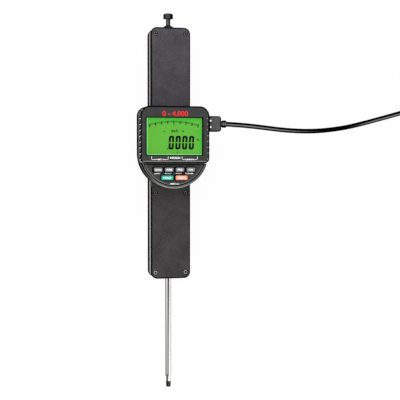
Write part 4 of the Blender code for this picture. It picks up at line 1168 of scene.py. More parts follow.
@dataclass
class Studio:
    """The camera, the lamps, the world and the floor."""

    lens: float = 86.29
    sensor: float = 36.0
    clip: float = 0.01
    stand: Place = (-0.18646, -0.00637, 0.96305)
    target: Place = (0.03016, -0.04675, 0.02026)
    roll: float = 0.04
    floor_drop: float = 0.4 * MM
    floor_width: float = 9.0
    ambient: float = 0.78
    floor_tone: float = 0.86
    floor_white: float = 0.93
    patch_tilt: float = -3.5
    patch_core: float = 11.0
    patch_rim: float = 19.0
    patch_dark: float = 0.55
    lamp_aim: Place = (0.0, -0.05, 0.0)
    lamps: Sequence[tuple[str, Place, Spot, float]] = (
        ("left_softbox", (-1.15, 0.25, 0.75), (0.9, 1.4), 8.0),
        ("top_softbox", (-0.25, 0.6, 0.8), (0.7, 0.5), 3.5),
        ("low_softbox", (0.4, -0.9, 0.75), (1.0, 0.7), 6.0),
    )

    def build(self) -> None:
        """Sets up everything that isn't the object."""
        bpy.context.scene.view_settings.view_transform = "Standard"
        self.camera()
        self.world()
        self.floor()
        for lamp in self.lamps:
            self.lamp(*lamp)

    def camera(self) -> None:
        """A camera where the picture was taken from."""
        made = linked(bpy.data.objects.new("camera", bpy.data.cameras.new("camera")))
        made.data.lens = self.lens
        made.data.sensor_width = self.sensor
        made.data.clip_start = self.clip
        back = (Vector(self.stand) - Vector(self.target)).normalized()
        right = Vector((0, 1, 0)).cross(back).normalized()
        up = back.cross(right)
        turn = Matrix((right, up, back)).transposed() @ Matrix.Rotation(math.radians(self.roll), 3, "Z")
        made.matrix_world = Matrix.Translation(self.stand) @ turn.to_4x4()
        bpy.context.scene.camera = made

    def world(self) -> None:
        """Even light, white to the camera, metal and glass, with a dark patch overhead in reflections."""
        sky = bpy.data.worlds.new("studio")
        bpy.context.scene.world = sky
        tree = Tree(sky)
        seen = self.seen(tree)
        way = tree.node("ShaderNodeTexCoord", out="Generated")
        tilt = math.radians(self.patch_tilt)
        level = tree.part(way, "Z") * math.cos(tilt) + tree.part(way, "X") * math.sin(tilt)
        rim, core = (math.cos(math.radians(angle)) for angle in (self.patch_rim, self.patch_core))
        bright = seen - level.rise(rim, core) * tree.ray("Is Glossy Ray") * self.patch_dark
        light = tree.node("ShaderNodeBackground", {}, {
            "Color": (1.0, 1.0, 1.0), "Strength": self.ambient + (bright - self.ambient) * seen,
        })
        tree.node("ShaderNodeOutputWorld", {}, {"Surface": light})

    def seen(self, tree: Tree) -> Wire:
        """1 for rays from the camera, or off metal or through glass."""
        return tree.ray("Is Camera Ray").most(tree.ray("Is Glossy Ray")).most(tree.ray("Is Transmission Ray"))

    def floor(self) -> None:
        """A pale floor that keeps a faint shadow."""
        piece = start("plane", "floor", size=self.floor_width, location=(0, 0, -self.floor_drop))
        with edit_mode(piece):
            pick_all()
            bpy.ops.mesh.subdivide(number_cuts=3)
        made = bpy.data.materials.new("pale_floor")
        tree = Tree(made)
        patch = tree.noise(tree.place(), 6.0)
        tone = (self.floor_tone,) * 3
        matte = tree.node("ShaderNodeBsdfDiffuse", {}, {
            "Color": tree.mix(tone, tuple(c * 1.01 for c in tone), patch),
        })
        white = tree.node("ShaderNodeEmission", {}, {"Color": (1.0, 1.0, 1.0), "Strength": 1.0})
        share = self.seen(tree) * self.floor_white
        blend = tree.node("ShaderNodeMixShader", {}, {0: share, 1: matte, 2: white})
        tree.node("ShaderNodeOutputMaterial", {}, {"Surface": blend})
        piece.data.materials.append(made)

    def lamp(self, name: str, stand: Place, size: Spot, power: float) -> None:
        """A soft rectangular lamp that faces the object.

        Args:
            name: The lamp's name.
            stand: Where it stands.
            size: Its width and height.
            power: Its power in watts.
        """
        made = linked(bpy.data.objects.new(name, bpy.data.lights.new(name, "AREA")))
        made.data.shape = "RECTANGLE"
        made.data.size, made.data.size_y = size
        made.data.energy = power
        made.location = stand
        made.rotation_mode = "QUATERNION"
        made.rotation_quaternion = (Vector(stand) - Vector(self.lamp_aim)).to_track_quat("Z", "Y")


@dataclass
class OutputCable:
    """The cable with its connector, relief, coil, strap and plug."""

    radius: float = 2.45 * MM
    exit: Place = (53.6 * MM, 29.3 * MM, 36.025 * MM)
    length: float = 2.13
    coil_centre: Spot = (300.0 * MM, 94.0 * MM)
    coil_radius: float = 28.5 * MM
    pitch: float = 5.4 * MM
    layers: int = 4
    per_layer: float = 2.5
    start_angle: float = -80.0
    lift: float = 1.2 * MM
    lead: float = 5.0 * MM
    loop_points: int = 48
    step: float = 4.0 * MM
    run: Sequence[Place] = (
        (60.0, 28.9, 36.0), (68.0, 28.45, 35.8), (80.0, 27.5, 35.0), (96.0, 25.9, 33.4), (115.0, 24.1, 30.6),
        (135.0, 23.3, 26.4), (155.0, 23.8, 21.0), (175.0, 25.8, 14.8), (194.0, 28.8, 9.0), (212.0, 32.8, 5.0),
        (230.0, 37.4, 3.7), (248.0, 42.2, 3.65), (266.0, 47.2, 3.65), (281.0, 51.6, 3.65),
    )
    tail: Sequence[Place] = (
        (337.0, 76.5, 16.6), (345.0, 88.0, 10.6), (349.0, 99.0, 6.0), (350.0, 106.0, 4.4),
        (350.0, 112.0, 4.1),
    )
    ribs: int = 5
    rib_start: float = 5.0 * MM
    rib_pitch: float = 2.6 * MM
    rib_width: float = 1.2 * MM
    rib_depth: float = 0.5 * MM
    rib_corner: float = 0.3 * MM
    shorter: float = 0.8 * MM
    strip: Spot = (1.1 * MM, 0.35 * MM)
    connector_corners: Sequence[float] = (1.2 * MM, 2.8 * MM, 2.8 * MM, 1.2 * MM)
    connector_foot: float = 0.9 * MM
    screw_levels: Sequence[float] = (26.1 * MM, 32.4 * MM)
    screw_inset: float = 1.5 * MM
    screw_dome: Profile = ((0.0, 0.42), (0.5, 0.38), (0.85, 0.2), (0.95, -0.1), (0.0, -0.1))
    boot: Profile = (
        (0.0, -0.8), (2.7, -0.8), (2.9, -0.6), (2.9, 0.6), (3.1, 0.8), (3.6, 1.0), (3.65, 2.2), (3.35, 2.35),
        (3.35, 2.65), (3.65, 2.8), (3.65, 4.2), (3.5, 4.5), (2.9, 4.7), (2.8, 5.0), (2.6, 5.1), (0.0, 5.1),
    )

    def build(self) -> None:
        """Makes the cable and all that is on it."""
        path = self.route()
        cable = self.sheathed(path)
        dress(cable, SHEATH, "head", "cable_sheath", "cable_run", "cable_coil", "cable_tail")
        pieces = [self.strap(), *self.plug()]
        self.connector()
        self.relief()

    def loop(self, turns: float) -> Vector:
        """The cable's centre in the coil, which winds in and out by turns as it climbs.

        Args:
            turns: How many turns of the coil come before it.

        Returns:
            The centre.
        """
        layer = min(int(turns / self.per_layer), self.layers - 1)
        within = turns - layer * self.per_layer
        inward = within if layer % 2 == 0 else self.per_layer - within
        reach = self.coil_radius + self.pitch * (self.per_layer / 2 - inward)
        climbed = 0.0
        for reversal in range(1, self.layers):
            share = min(1.0, max(0.0, (turns - reversal * self.per_layer) * 2 + 0.5))
            climbed += share * share * (3 - 2 * share)
        angle = math.radians(self.start_angle) + math.tau * turns
        x, y = self.coil_centre
        height = self.radius + self.lift + self.pitch * climbed
        return Vector((x + reach * math.cos(angle), y + reach * math.sin(angle), height))

    def smooth(self, points: Sequence[Vector]) -> list[Vector]:
        """A smooth curve through points.

        Args:
            points: The points.

        Returns:
            Points a small step apart on the curve.
        """
        ends = [2 * points[0] - points[1], *points, 2 * points[-1] - points[-2]]
        fine = []
        for before, first, second, after in zip(ends, ends[1:], ends[2:], ends[3:]):
            count = max(2, round((second - first).length / self.step))
            for i in range(count):
                t = i / count
                fine.append(0.5 * (
                    2 * first + (second - before) * t + (2 * before - 5 * first + 4 * second - after) * t**2
                    + (3 * first - before - 3 * second + after) * t**3
                ))
        return fine + [points[-1]]

    def route(self) -> list[Vector]:
        """The whole centre line: the run, the coil and the tail to the plug.

        Returns:
            Points along it.
        """
        turns = self.layers * self.per_layer
        count = round(turns * self.loop_points)
        coil = [self.loop(turns * i / count) for i in range(count + 1)]
        entry = coil[0] - (coil[1] - coil[0]).normalized() * self.lead
        leave = coil[-1] + (coil[-1] - coil[-2]).normalized() * self.lead
        run = self.smooth([Vector(self.exit), *(Vector(p) * MM for p in self.run), entry])
        tail = self.smooth([leave, *(Vector(p) * MM for p in self.tail)])
        return [*run, *coil, *tail]

    def sheathed(self, path: Sequence[Vector]) -> Object:
        """The round sheath.

        Args:
            path: Points along its middle.

        Returns:
            The sheath.
        """
        curve = bpy.data.curves.new("cable", "CURVE")
        curve.dimensions = "3D"
        curve.bevel_depth = self.radius
        curve.bevel_resolution = 3
        curve.use_fill_caps = True
        spline = curve.splines.new("POLY")
        spline.points.add(len(path) - 1)
        for spot, point in zip(spline.points, path):
            spot.co = (*point, 1.0)
        piece = linked(bpy.data.objects.new("cable", curve))
        alone(piece)
        bpy.ops.object.convert(target="MESH")
        even(piece, angle=60.0)
        return piece

    def strap(self) -> Object:
        """The woven strap that holds the coil.

        Returns:
            The strap.
        """
        piece = traced("cable_tie", "coil_strap")
        even(piece)
        return dress(piece, STRAP, "head", "tie_fabric", "cable_tie")

    def plug(self) -> list[Object]:
        """The plug's moulded grip with finger ribs, and its metal sleeve.

        Returns:
            The two pieces.
        """
        body = traced("plug_body", "plug_grip")
        low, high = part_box("plug_body")
        for number in range(self.ribs):
            y = low.y + self.rib_start + self.rib_pitch * number
            for x in (low.x, high.x):
                bottom = (x - self.rib_depth, y, low.z - MM)
                top = (x + self.rib_depth, y + self.rib_width, high.z + MM)
                carve(body, slab("rib", bottom, top, (self.rib_corner,) * 4, corner_steps=2))
        even(body)
        sleeve = traced("plug_shell", "plug_sleeve")
        even(sleeve)
        return [
            dress(body, PLUG_SKIN, "head", "black_plastic", "plug_body"),
            dress(sleeve, BRIGHT_STEEL, "head", "ground_steel", "plug_shell"),
        ]

    def connector(self) -> None:
        """The moulded connector at the head, with two small domed screws."""
        low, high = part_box("cable_connector")
        high.x -= self.shorter
        wide, drop = self.strip
        under = high - Vector((0, 0, drop))
        body = slab(
            "connector_shell", low, under, self.connector_corners, foot=self.connector_foot,
            corner_steps=12, rim_steps=8,
        )
        # The sloped strip takes the skin's painted edge shade as a dark outline
        eased(body, under.z, wide, drop)
        even(body, CRISP_ANGLE)
        dress(body, PLUG_SKIN, "head", "black_plastic", "cable_connector")
        for number, y in enumerate(self.screw_levels, 1):
            spot = (low.x + self.screw_inset, y, high.z)
            screw = turned(f"connector_screw_{number}", scaled(self.screw_dome), spot, Along.UP, steps=24)
            even(screw, angle=50.0)
            # The domed screws are painted near-white, a painted glint
            dress(screw, PALE_PRINT_AND_GLINT, "head", "ground_steel")

    def relief(self) -> None:
        """The stepped strain relief."""
        middle = middle_of("cable_strain_relief")
        middle.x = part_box("cable_strain_relief")[0].x
        piece = turned("relief_boot", scaled(self.boot), middle, Along.RIGHT)
        even(piece, ROUND_ANGLE)
        dress(piece, RELIEF_SKIN, "head", "black_plastic", "cable_strain_relief")


@dataclass
class Screws:
    """Socket head screws, modelled once for each length and copied."""

    head_radius: float = 1.8 * MM
    head: float = 1.5 * MM
    shank: float = 1.0 * MM
    chamfer: float = 0.32 * MM
    socket: float = 1.38 * MM
    socket_depth: float = 0.9 * MM
    cover_reach: float = 8.0 * MM
    case_reach: float = 13.2 * MM
    # Screws below this take the paler painted glint
    pale_below: float = -100.0 * MM

    def build(self) -> None:
        """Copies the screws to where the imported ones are."""
        nodes = sorted(bpy.data.objects.keys())
        cover = self.master("cover_screw", Along.DOWN, self.cover_reach)
        case = self.master("case_screw", Along.UP, self.case_reach)
        for node in nodes:
            if node.startswith(("upper_cover_screw", "lower_cover_screw", "swivel_base_screw")):
                self.place(cover, node, "column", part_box(node)[1].z)
            elif node.startswith("case_screw"):
                self.place(case, node, "head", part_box(node)[0].z)
        scrap(cover, case)

    def master(self, name: str, along: Along, reach: float) -> Object:
        """One screw with the middle of its head's face at the origin.

        Args:
            name: The screw's name.
            along: Which way its shank runs.
            reach: Its length.

        Returns:
            The screw.
        """
        edge, wide, thin = self.chamfer, self.head_radius, self.shank
        profile = (
            (0.0, 0.0), (wide - edge, 0.0), (wide - edge / 3, edge / 3), (wide, edge), (wide, self.head),
            (thin, self.head), (thin, reach - edge), (thin - edge, reach), (0.0, reach),
        )
        screw = paint(turned(name, profile, (0, 0, 0), along), SCREW_COAT)
        hexagon = start("cylinder", "hexagon", vertices=6, radius=self.socket, depth=2 * self.socket_depth)
        with edit_mode(hexagon):
            pick(hexagon, Level.FACES, face_at(-self.socket_depth))
            bpy.ops.mesh.inset(thickness=self.socket / 3)
            bpy.ops.transform.translate(value=(0, 0, -self.chamfer))
        # The hex socket is painted black as shade
        carve(screw, paint(hexagon, SLOT_BLACK))
        even(screw, ROUND_ANGLE)
        return screw

    def place(self, master: Object, node: str, body: str, height: float) -> None:
        """Sets a copy of a screw in a packed screw's place.

        Args:
            master: The screw that is copied.
            node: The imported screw.
            body: The body that it rides on.
            height: Where its head's face is.
        """
        middle = middle_of(node)
        piece = duplicate(master, f"{node}_head", (middle.x, middle.y, height))
        # The lower screws take the paler painted glint
        if middle.y < self.pale_below:
            piece.data.materials[0] = painted(PALE_SCREW)
        dress(piece, SCREW_COAT, body, "blackened_steel", node)


@dataclass
class Column:
    """The housing, its two front covers and the swivel plate between them."""

    corner: float = 6.3 * MM
    back_corner: float = 7.6 * MM
    strip: Spot = (1.3 * MM, 0.4 * MM)
    foot: float = 0.4 * MM
    spare: float = 8.0 * MM
    bore: float = 2.3 * MM
    flare: float = 0.12 * MM
    hole: float = 1.1 * MM
    seat: float = 18.275 * MM
    over: float = 2.0 * MM
    fill: float = 2.0 * MM
    around: float = 3.0 * MM
    through: float = 5.0 * MM

    def build(self) -> None:
        """Makes the column's visible shells."""
        housing = traced("column_housing", "housing_shell")
        low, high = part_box("column_housing")
        around = Vector((self.around,) * 3)
        past = Vector((NEAR, NEAR, self.through))
        block = slab("surround", low - around, high + around)
        carve(block, slab("inside", low - past, high + past, (self.back_corner,) * 4, corner_steps=20))
        carve(housing, block)
        even(housing)
        dress(housing, HOUSING_COAT, "column", "black_casting", "column_housing")
        plate = joined("swivel_plate", [traced("swivel_base", "swivel_plate"), *self.corner_fills()])
        even(plate)
        dress(plate, PLAIN_COAT, "column", "black_casting", "swivel_base")
        self.cover("upper_cover", UPPER_COAT, -1)
        self.cover("lower_cover", LOWER_COAT, 1)

    def corner_fills(self) -> list[Object]:
        """Blocks that square the swivel plate's corners.

        Returns:
            The four blocks.
        """
        low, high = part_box("swivel_base")
        bottom, top = (end.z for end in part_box("upper_cover"))
        made = []
        for x, x_in in ((low.x + NEAR, self.fill), (high.x - NEAR, -self.fill)):
            for y, y_in in ((low.y + NEAR, self.fill), (high.y - NEAR, -self.fill)):
                spots = (sorted((x, x + x_in)), sorted((y, y + y_in)), (bottom + NEAR, top - NEAR))
                made.append(slab("corner_fill", *zip(*spots)))
        return made

    def cover(self, node: str, finish: Finish, side: int) -> None:
        """One front cover, square at the bay, with its four counterbored holes.

        Args:
            node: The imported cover.
            finish: Its finish.
            side: 1 if the bay is above it, -1 if it is below.
        """
        low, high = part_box(node)
        wide, drop = self.strip
        longer_low = low - Vector((0, self.spare if side < 0 else 0, 0))
        longer_high = high + Vector((0, self.spare if side > 0 else 0, -drop))
        corners = (self.corner,) * 4
        plate = slab(
            f"{node}_plate", longer_low, longer_high, corners, foot=self.foot, corner_steps=16, rim_steps=6,
        )
        # The sloped strip along the edge takes the coat's painted edge shade as a dark outline
        eased(plate, longer_high.z, wide, drop)
        cut_off(plate, high.y if side > 0 else low.y, side)
        paint(plate, finish)
        over, seat = self.over, self.seat - high.z
        profile = (
            (0.0, over), (self.bore + self.flare + over, over), (self.bore, -self.flare), (self.bore, seat),
            (self.hole, seat), (self.hole, -2 * over), (0.0, -2 * over),
        )
        for number in CORNERS:
            middle = middle_of(f"{node}_screw_{number}")
            cutter = turned("counterbore", profile, (middle.x, middle.y, high.z), Along.UP)
            # The counterbores are painted black as shade
            carve(plate, paint(cutter, SLOT_BLACK))
        even(plate, CRISP_ANGLE)
        dress(plate, finish, "column", "black_casting", node)


@dataclass(frozen=True)
class TurnedPart:
    """A piece on the spindle's axis: its profile, in millimetres from a base, and how it is dressed."""

    name: str
    node: str
    finish: Finish
    slot: str
    base: float
    along: Along
    profile: Profile
    body: str = "spindle"


@dataclass
class SpindleGear:
    """The spindle, its contact, the lifting cap and the boss that it slides in."""

    height: float = 7.4 * MM
    shoulder: float = -227.1
    cap_bottom: float = 135.7
    column_end: float = 125.5
    steps: int = 72

    def build(self) -> None:
        """Turns and dresses the spindle's pieces."""
        for part in self.parts():
            spot = (0, part.base * MM, self.height)
            piece = turned(part.name, scaled(part.profile), spot, part.along, self.steps)
            even(piece, ROUND_ANGLE)
            dress(piece, part.finish, part.body, part.slot, part.node)

    def parts(self) -> Iterator[TurnedPart]:
        """Lists the pieces from the spindle to the boss.

        Yields:
            One piece after the other.
        """
        yield TurnedPart(
            "spindle_ground", "spindle_rod", CHROME, "ground_steel", self.shoulder, Along.CAPWARD, (
                (0.0, 4.3), (1.3, 4.3), (1.3, 0.0), (2.45, 0.0), (2.8, 0.28), (3.175, 0.75), (3.175, 237.7),
                (2.8, 238.1), (0.0, 238.1),
            ),
        )
        yield TurnedPart(
            "spindle_stem", "spindle_rod", STEM_BLACK, "ground_steel", self.shoulder, Along.CAPWARD, (
                (0.0, 238.0), (2.18, 238.0), (2.18, 365.9), (1.9, 366.2), (0.0, 366.2),
            ),
        )
        yield TurnedPart(
            "contact_neck", "contact_point", NECK_STEEL, "ground_steel", self.shoulder, Along.TIPWARD, (
                (0.0, -4.0), (1.2, -4.0), (1.2, 0.3), (2.1, 0.3), (2.3, 0.5), (2.3, 4.8), (2.15, 5.0),
                (0.0, 5.0),
            ),
        )
        yield TurnedPart(
            "contact_tip", "contact_point", TIP_BLACK, "contact_black", self.shoulder, Along.TIPWARD, (
                (0.0, 5.0), (2.1, 5.0), (2.38, 5.3), (2.38, 9.6), (2.3, 10.15), (2.07, 10.6), (1.7, 10.9),
                (1.1, 11.12), (0.5, 11.19), (0.0, 11.2),
            ),
        )
        yield TurnedPart(
            "cap_turned", "lifting_cap", CAP_BLACK, "black_plastic", self.cap_bottom, Along.CAPWARD, (
                (0.0, 3.7), (2.28, 3.7), (2.28, 0.0), (4.6, 0.0), (4.82, 0.1), (4.9, 0.35), (4.9, 1.6),
                (4.74, 1.75), (4.74, 2.0), (4.9, 2.15), (4.9, 2.8), (4.74, 2.95), (4.74, 3.2), (4.9, 3.35),
                (4.9, 4.0), (4.75, 4.35), (4.3, 4.62), (3.2, 5.02), (1.8, 5.32), (0.6, 5.44), (0.0, 5.46),
            ),
        )
        yield TurnedPart(
            "boss_turned", "upper_bushing", BOSS_COAT, "black_plastic", self.column_end, Along.CAPWARD, (
                (2.24, -7.9), (4.38, -7.9), (4.38, 0.3), (5.0, 0.3), (5.0, 1.6), (4.75, 2.0), (4.2, 2.4),
                (3.5, 2.75), (2.9, 3.05), (2.55, 3.35), (2.4, 3.55), (2.24, 3.6), (2.24, -7.9),
            ), body="column",
        )


@dataclass
class HeadShells:
    """The display's bezel with its finger grooves, and the rear case."""

    radius: float = 34.4 * MM
    top: float = 46.3 * MM
    corner: float = 9.5 * MM
    low_corner: float = 5.0 * MM
    wall: float = 2.2 * MM
    under: float = 40.525 * MM
    front: float = 43.48 * MM
    foot: float = 0.4 * MM
    window: Sequence[float] = (-28.1 * MM, -1.4 * MM, 27.5 * MM, 34.8 * MM)
    window_corner: float = 0.9 * MM
    frame: Sequence[float] = (1.3 * MM, 0.8 * MM, 0.6 * MM)
    frame_corner: float = 1.3 * MM
    strip: Spot = (1.5 * MM, 0.45 * MM)
    lip: Sequence[float] = (-32.0 * MM, -9.0 * MM, 31.0 * MM, -8.05 * MM)
    lip_depth: float = 0.8 * MM
    lip_slope: float = 1.69 * MM
    case_foot: float = 0.25 * MM
    floor: float = 2.5 * MM
    hub: float = 14.12 * MM
    screw_hole: Profile = ((0.0, -1.0), (2.1, -1.0), (2.1, 2.05), (1.1, 2.05), (1.1, 6.0), (0.0, 6.0))
    groove_pitch: float = 5.69 * MM
    left_depth: float = 0.45 * MM
    right_depth: float = 0.2 * MM
    groove_mouth: Spot = (-1.2 * MM, 1.2 * MM)
    groove_foot: float = -0.4 * MM
    groove_start: float = -5.3 * MM
    groove_low: float = 36.0 * MM
    grooves: int = 8
    left_run: Spot = (-2.0 * MM, -0.3 * MM)
    right_run: Spot = (-2.45 * MM, -1.35 * MM)
    run_half: float = 0.5 * MM
    run_depth: float = 1.4 * MM
    run_rise: float = 1.35 * MM
    corner_share: float = 0.5
    socket_hole: Sequence[Place] = ((29.0 * MM, 22.5 * MM, 32.6 * MM), (36.0 * MM, 36.1 * MM, 39.4 * MM))
    board_hole: Sequence[Place] = ((-31.9 * MM, -11.0 * MM, 29.0 * MM), (31.9 * MM, -7.0 * MM, 33.2 * MM))

    def build(self) -> None:
        """Makes the head's shells."""
        self.bezel()
        self.rear()

    def outline(self, name: str, low: float, high: float, inset: float, foot: float = 0.0) -> Object:
        """A block in the head's outline, round below and square above.

        Args:
            name: The block's name.
            low: Height of its back.
            high: Height of its front.
            inset: How far inside the outline it stays.
            foot: Radius of its back edge.

        Returns:
            The block.
        """
        wide = self.radius - inset
        corners = (wide - NEAR, wide - NEAR, self.corner - inset, self.corner - inset)
        ends = (-wide, -wide, low), (wide, self.top - inset, high)
        return slab(name, *ends, corners, foot=foot, corner_steps=48, rim_steps=4)

    def rear(self) -> None:
        """The rear case: hollow from the front, with its hub bore and its counterbored screw holes."""
        low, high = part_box("head_rear_case")
        case = self.outline("rear_shell", low.z, high.z, 0.0, self.case_foot)
        carve(case, self.outline("hollow", low.z + self.floor, high.z + MM, self.wall))
        bore = ((0.0, -MM), (self.hub, -MM), (self.hub, 2 * self.floor), (0.0, 2 * self.floor))
        carve(case, turned("hub_bore", bore, (0, 0, low.z), Along.UP, steps=96))
        for number in CORNERS:
            middle = middle_of(f"case_screw_{number}")
            carve(case, turned("screw_hole", scaled(self.screw_hole), (middle.x, middle.y, low.z), Along.UP))
        even(case, angle=20.0)
        dress(case, CASE_SKIN, "head", "dark_shell", "head_rear_case")

    def groove_spots(self) -> list[tuple[float, float, float]]:
        """Where the right side's finger grooves stand.

        Returns:
            For each one x, y and the outward angle.
        """
        level, across = self.top - self.corner, self.radius - self.corner
        turn = self.groove_pitch / self.corner
        spots = [(self.radius, self.groove_start + i * self.groove_pitch, 0.0) for i in range(self.grooves)]
        for angle in (turn, 2 * turn):
            x, y = across + self.corner * math.cos(angle), level + self.corner * math.sin(angle)
            spots.append((x, y, angle))
        return spots

    def groove(self, depth: float) -> Object:
        """The cutter of one groove, with a square upper wall and a sloped lower one.

        Args:
            depth: How deep the groove is.

        Returns:
            The cutter, about a point on the wall.
        """
        low, high = self.groove_mouth
        deep, out = -depth, depth / 2
        cutter = slab("groove", (deep, low, self.groove_low), (out, high, self.front + MM))
        fall = (low - self.groove_foot) * (out / -deep)
        with edit_mode(cutter):
            shift_points(cutter, lambda p: p.co.x < 0 and p.co.y < 0, (0, self.groove_foot - low, 0))
            shift_points(cutter, lambda p: p.co.x > 0 and p.co.y < 0, (0, fall, 0))
        # The groove is painted black as shade, with a painted highlight on its wall facing up
        return paint(cutter, GROOVE_SKIN)

    def run_out(self, run: Spot, finish: Finish) -> Object:
        """The cutter of the small ramp where a groove runs out on the front.

        Args:
            run: Where the ramp begins and ends, from the wall.
            finish: The ramp's finish.

        Returns:
            The cutter.
        """
        inner, outer = run
        low = (inner, -self.run_half, self.front - self.run_depth)
        cutter = slab("run_out", low, (outer, self.run_half, self.front + MM))
        middle = (inner + outer) / 2
        with edit_mode(cutter):
            shift_points(cutter, lambda p: p.co.x < middle and p.co.z < self.front, (0, 0, self.run_rise))
        return paint(cutter, finish)

    def along_side(self, master: Object, side: int, corner_finish: Finish) -> Object:
        """One cutter made of copies of a master at all the grooves of a side.

        Args:
            master: The cutter of one groove, which is used up.
            side: 1 for the right side, -1 for the left.
            corner_finish: The finish round the corner, where the grooves are shallower.

        Returns:
            The joined cutter.
        """
        cutters = []
        for number, (x, y, angle) in enumerate(self.groove_spots()):
            cutter = duplicate(master, f"{master.name}_{number}")
            reach = Matrix.Diagonal((self.corner_share if angle else 1.0, 1, 1, 1))
            place = Matrix.Translation((x, y, 0)) @ Matrix.Rotation(angle, 4, "Z") @ reach
            cutter.data.transform(Matrix.Diagonal((side, 1, 1, 1)) @ place)
            if side < 0:
                cutter.data.flip_normals()
            if angle:
                cutter.data.materials[0] = painted(corner_finish)
            cutters.append(cutter)
        scrap(master)
        return joined("cutters", cutters)

    def lip_groove(self) -> Object:
        """The cutter of the groove along the bezel's lower edge, with a sloped upper wall.

        Returns:
            The cutter.
        """
        left, bottom, right, top = self.lip
        middle = (bottom + top) / 2
        cutter = slab("lip", (left, bottom, self.front - self.lip_depth), (right, top, self.front + MM))
        with edit_mode(cutter):
            shift_points(cutter, lambda p: p.co.z > self.front and p.co.y > middle, (0, self.lip_slope, 0))
        # The lip groove is painted black as shade, with a painted highlight on its slope
        return paint(cutter, LIP_SKIN)

    def opening(self) -> list[Object]:
        """The cutters of the window's opening and of the step round it.

        Returns:
            The two cutters.
        """
        left, bottom, right, top = self.window
        wide, step, deep = self.frame
        head = self.front + MM
        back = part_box("display_bezel")[0].z
        hole = slab("window", (left, bottom, back), (right, top, head), (self.window_corner,) * 4)
        low, high = (left - wide, bottom - step, self.front - deep), (right + step, top + step, head)
        frame = slab("frame", low, high, (self.frame_corner,) * 4)
        # The opening and its step are painted black as shade
        return [paint(hole, SLOT_BLACK), paint(frame, SLOT_BLACK)]

    @staticmethod
    def in_lower_strip(face: Any) -> bool:
        """Whether a face is in the sloped strip along the lower edge."""
        return face.normal.y < -0.2 and face.normal.z > 0.9

    def bezel(self) -> None:
        """The bezel: rounded shell, stepped window, grooves, and openings for the socket and board."""
        low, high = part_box("display_bezel")
        wide, drop = self.strip
        high.z = self.front - drop
        corners = (self.low_corner, self.low_corner, self.corner, self.corner)
        shell = slab("bezel_shell", low, high, corners, foot=self.foot, corner_steps=16, rim_steps=6)
        # The sloped strip takes the skin's painted edge shade as a dark outline
        eased(shell, high.z, wide, drop)
        paint(shell, SHELL_SKIN)
        give_faces(shell, PLAIN_COAT, self.in_lower_strip)
        wall = self.wall
        inner_low = (low.x + wall, low.y + wall, low.z - MM)
        inner_high = (high.x - wall, high.y - wall, self.under)
        carve(shell, slab("hollow", inner_low, inner_high, [radius - wall for radius in corners]))
        carve(shell, *self.opening())
        # Ramps where the grooves run out: plain on the left, a painted highlight on the right
        carve(shell, self.along_side(self.run_out(self.left_run, PLAIN_COAT), -1, PLAIN_COAT))
        carve(shell, self.along_side(self.run_out(self.right_run, TICK_SKIN), 1, PLAIN_COAT))
        # Grooves with painted shade and painted highlights, fainter round the corner
        carve(shell, self.along_side(self.groove(self.left_depth), -1, CORNER_SKIN))
        carve(shell, self.along_side(self.groove(self.right_depth), 1, CORNER_SKIN))
        carve(shell, self.lip_groove())
        carve(shell, slab("socket", *self.socket_hole))
        carve(shell, slab("board", *self.board_hole))
        even(shell, CRISP_ANGLE)
        dress(shell, SHELL_SKIN, "head", "dark_shell", "display_bezel")


@dataclass(frozen=True)
class KeyLook:
    """How one key looks: its finish, its word, the caption below it, and how its top sits in its hole."""

    finish: Finish
    word: str
    word_share: float
    caption: str = ""
    caption_width: float = 0.0
    left_gap: float = 0.2 * MM
    taper: Spot = (0.65 * MM, 0.5 * MM)
    shift: Spot = (-0.2 * MM, 0.1 * MM)


WIDE_GAP = 0.6 * MM
BRIGHT_TAPER = (0.3 * MM, 0.5 * MM)
KEY_LOOKS = {
    "key_units": KeyLook(KEY_GREY, "in/mm", 0.62, "UNITS", 5.6 * MM, WIDE_GAP),
    "key_origin": KeyLook(KEY_GREY, "ABS", 0.62, "ORIGIN", 6.8 * MM),
    "key_preset": KeyLook(KEY_GREY, "PRE", 0.45, "PRESET", 6.0 * MM),
    "key_power": KeyLook(KEY_GREY, "ON", 0.4, "POWER", 8.2 * MM),
    "key_green": KeyLook(
        KEY_TEAL, "HOLD", 0.6, left_gap=WIDE_GAP, taper=BRIGHT_TAPER, shift=(-0.6 * MM, -0.1 * MM),
    ),
    "key_orange": KeyLook(KEY_SALMON, "ZERO", 0.6, taper=BRIGHT_TAPER, shift=(0.0, -0.1 * MM)),
}


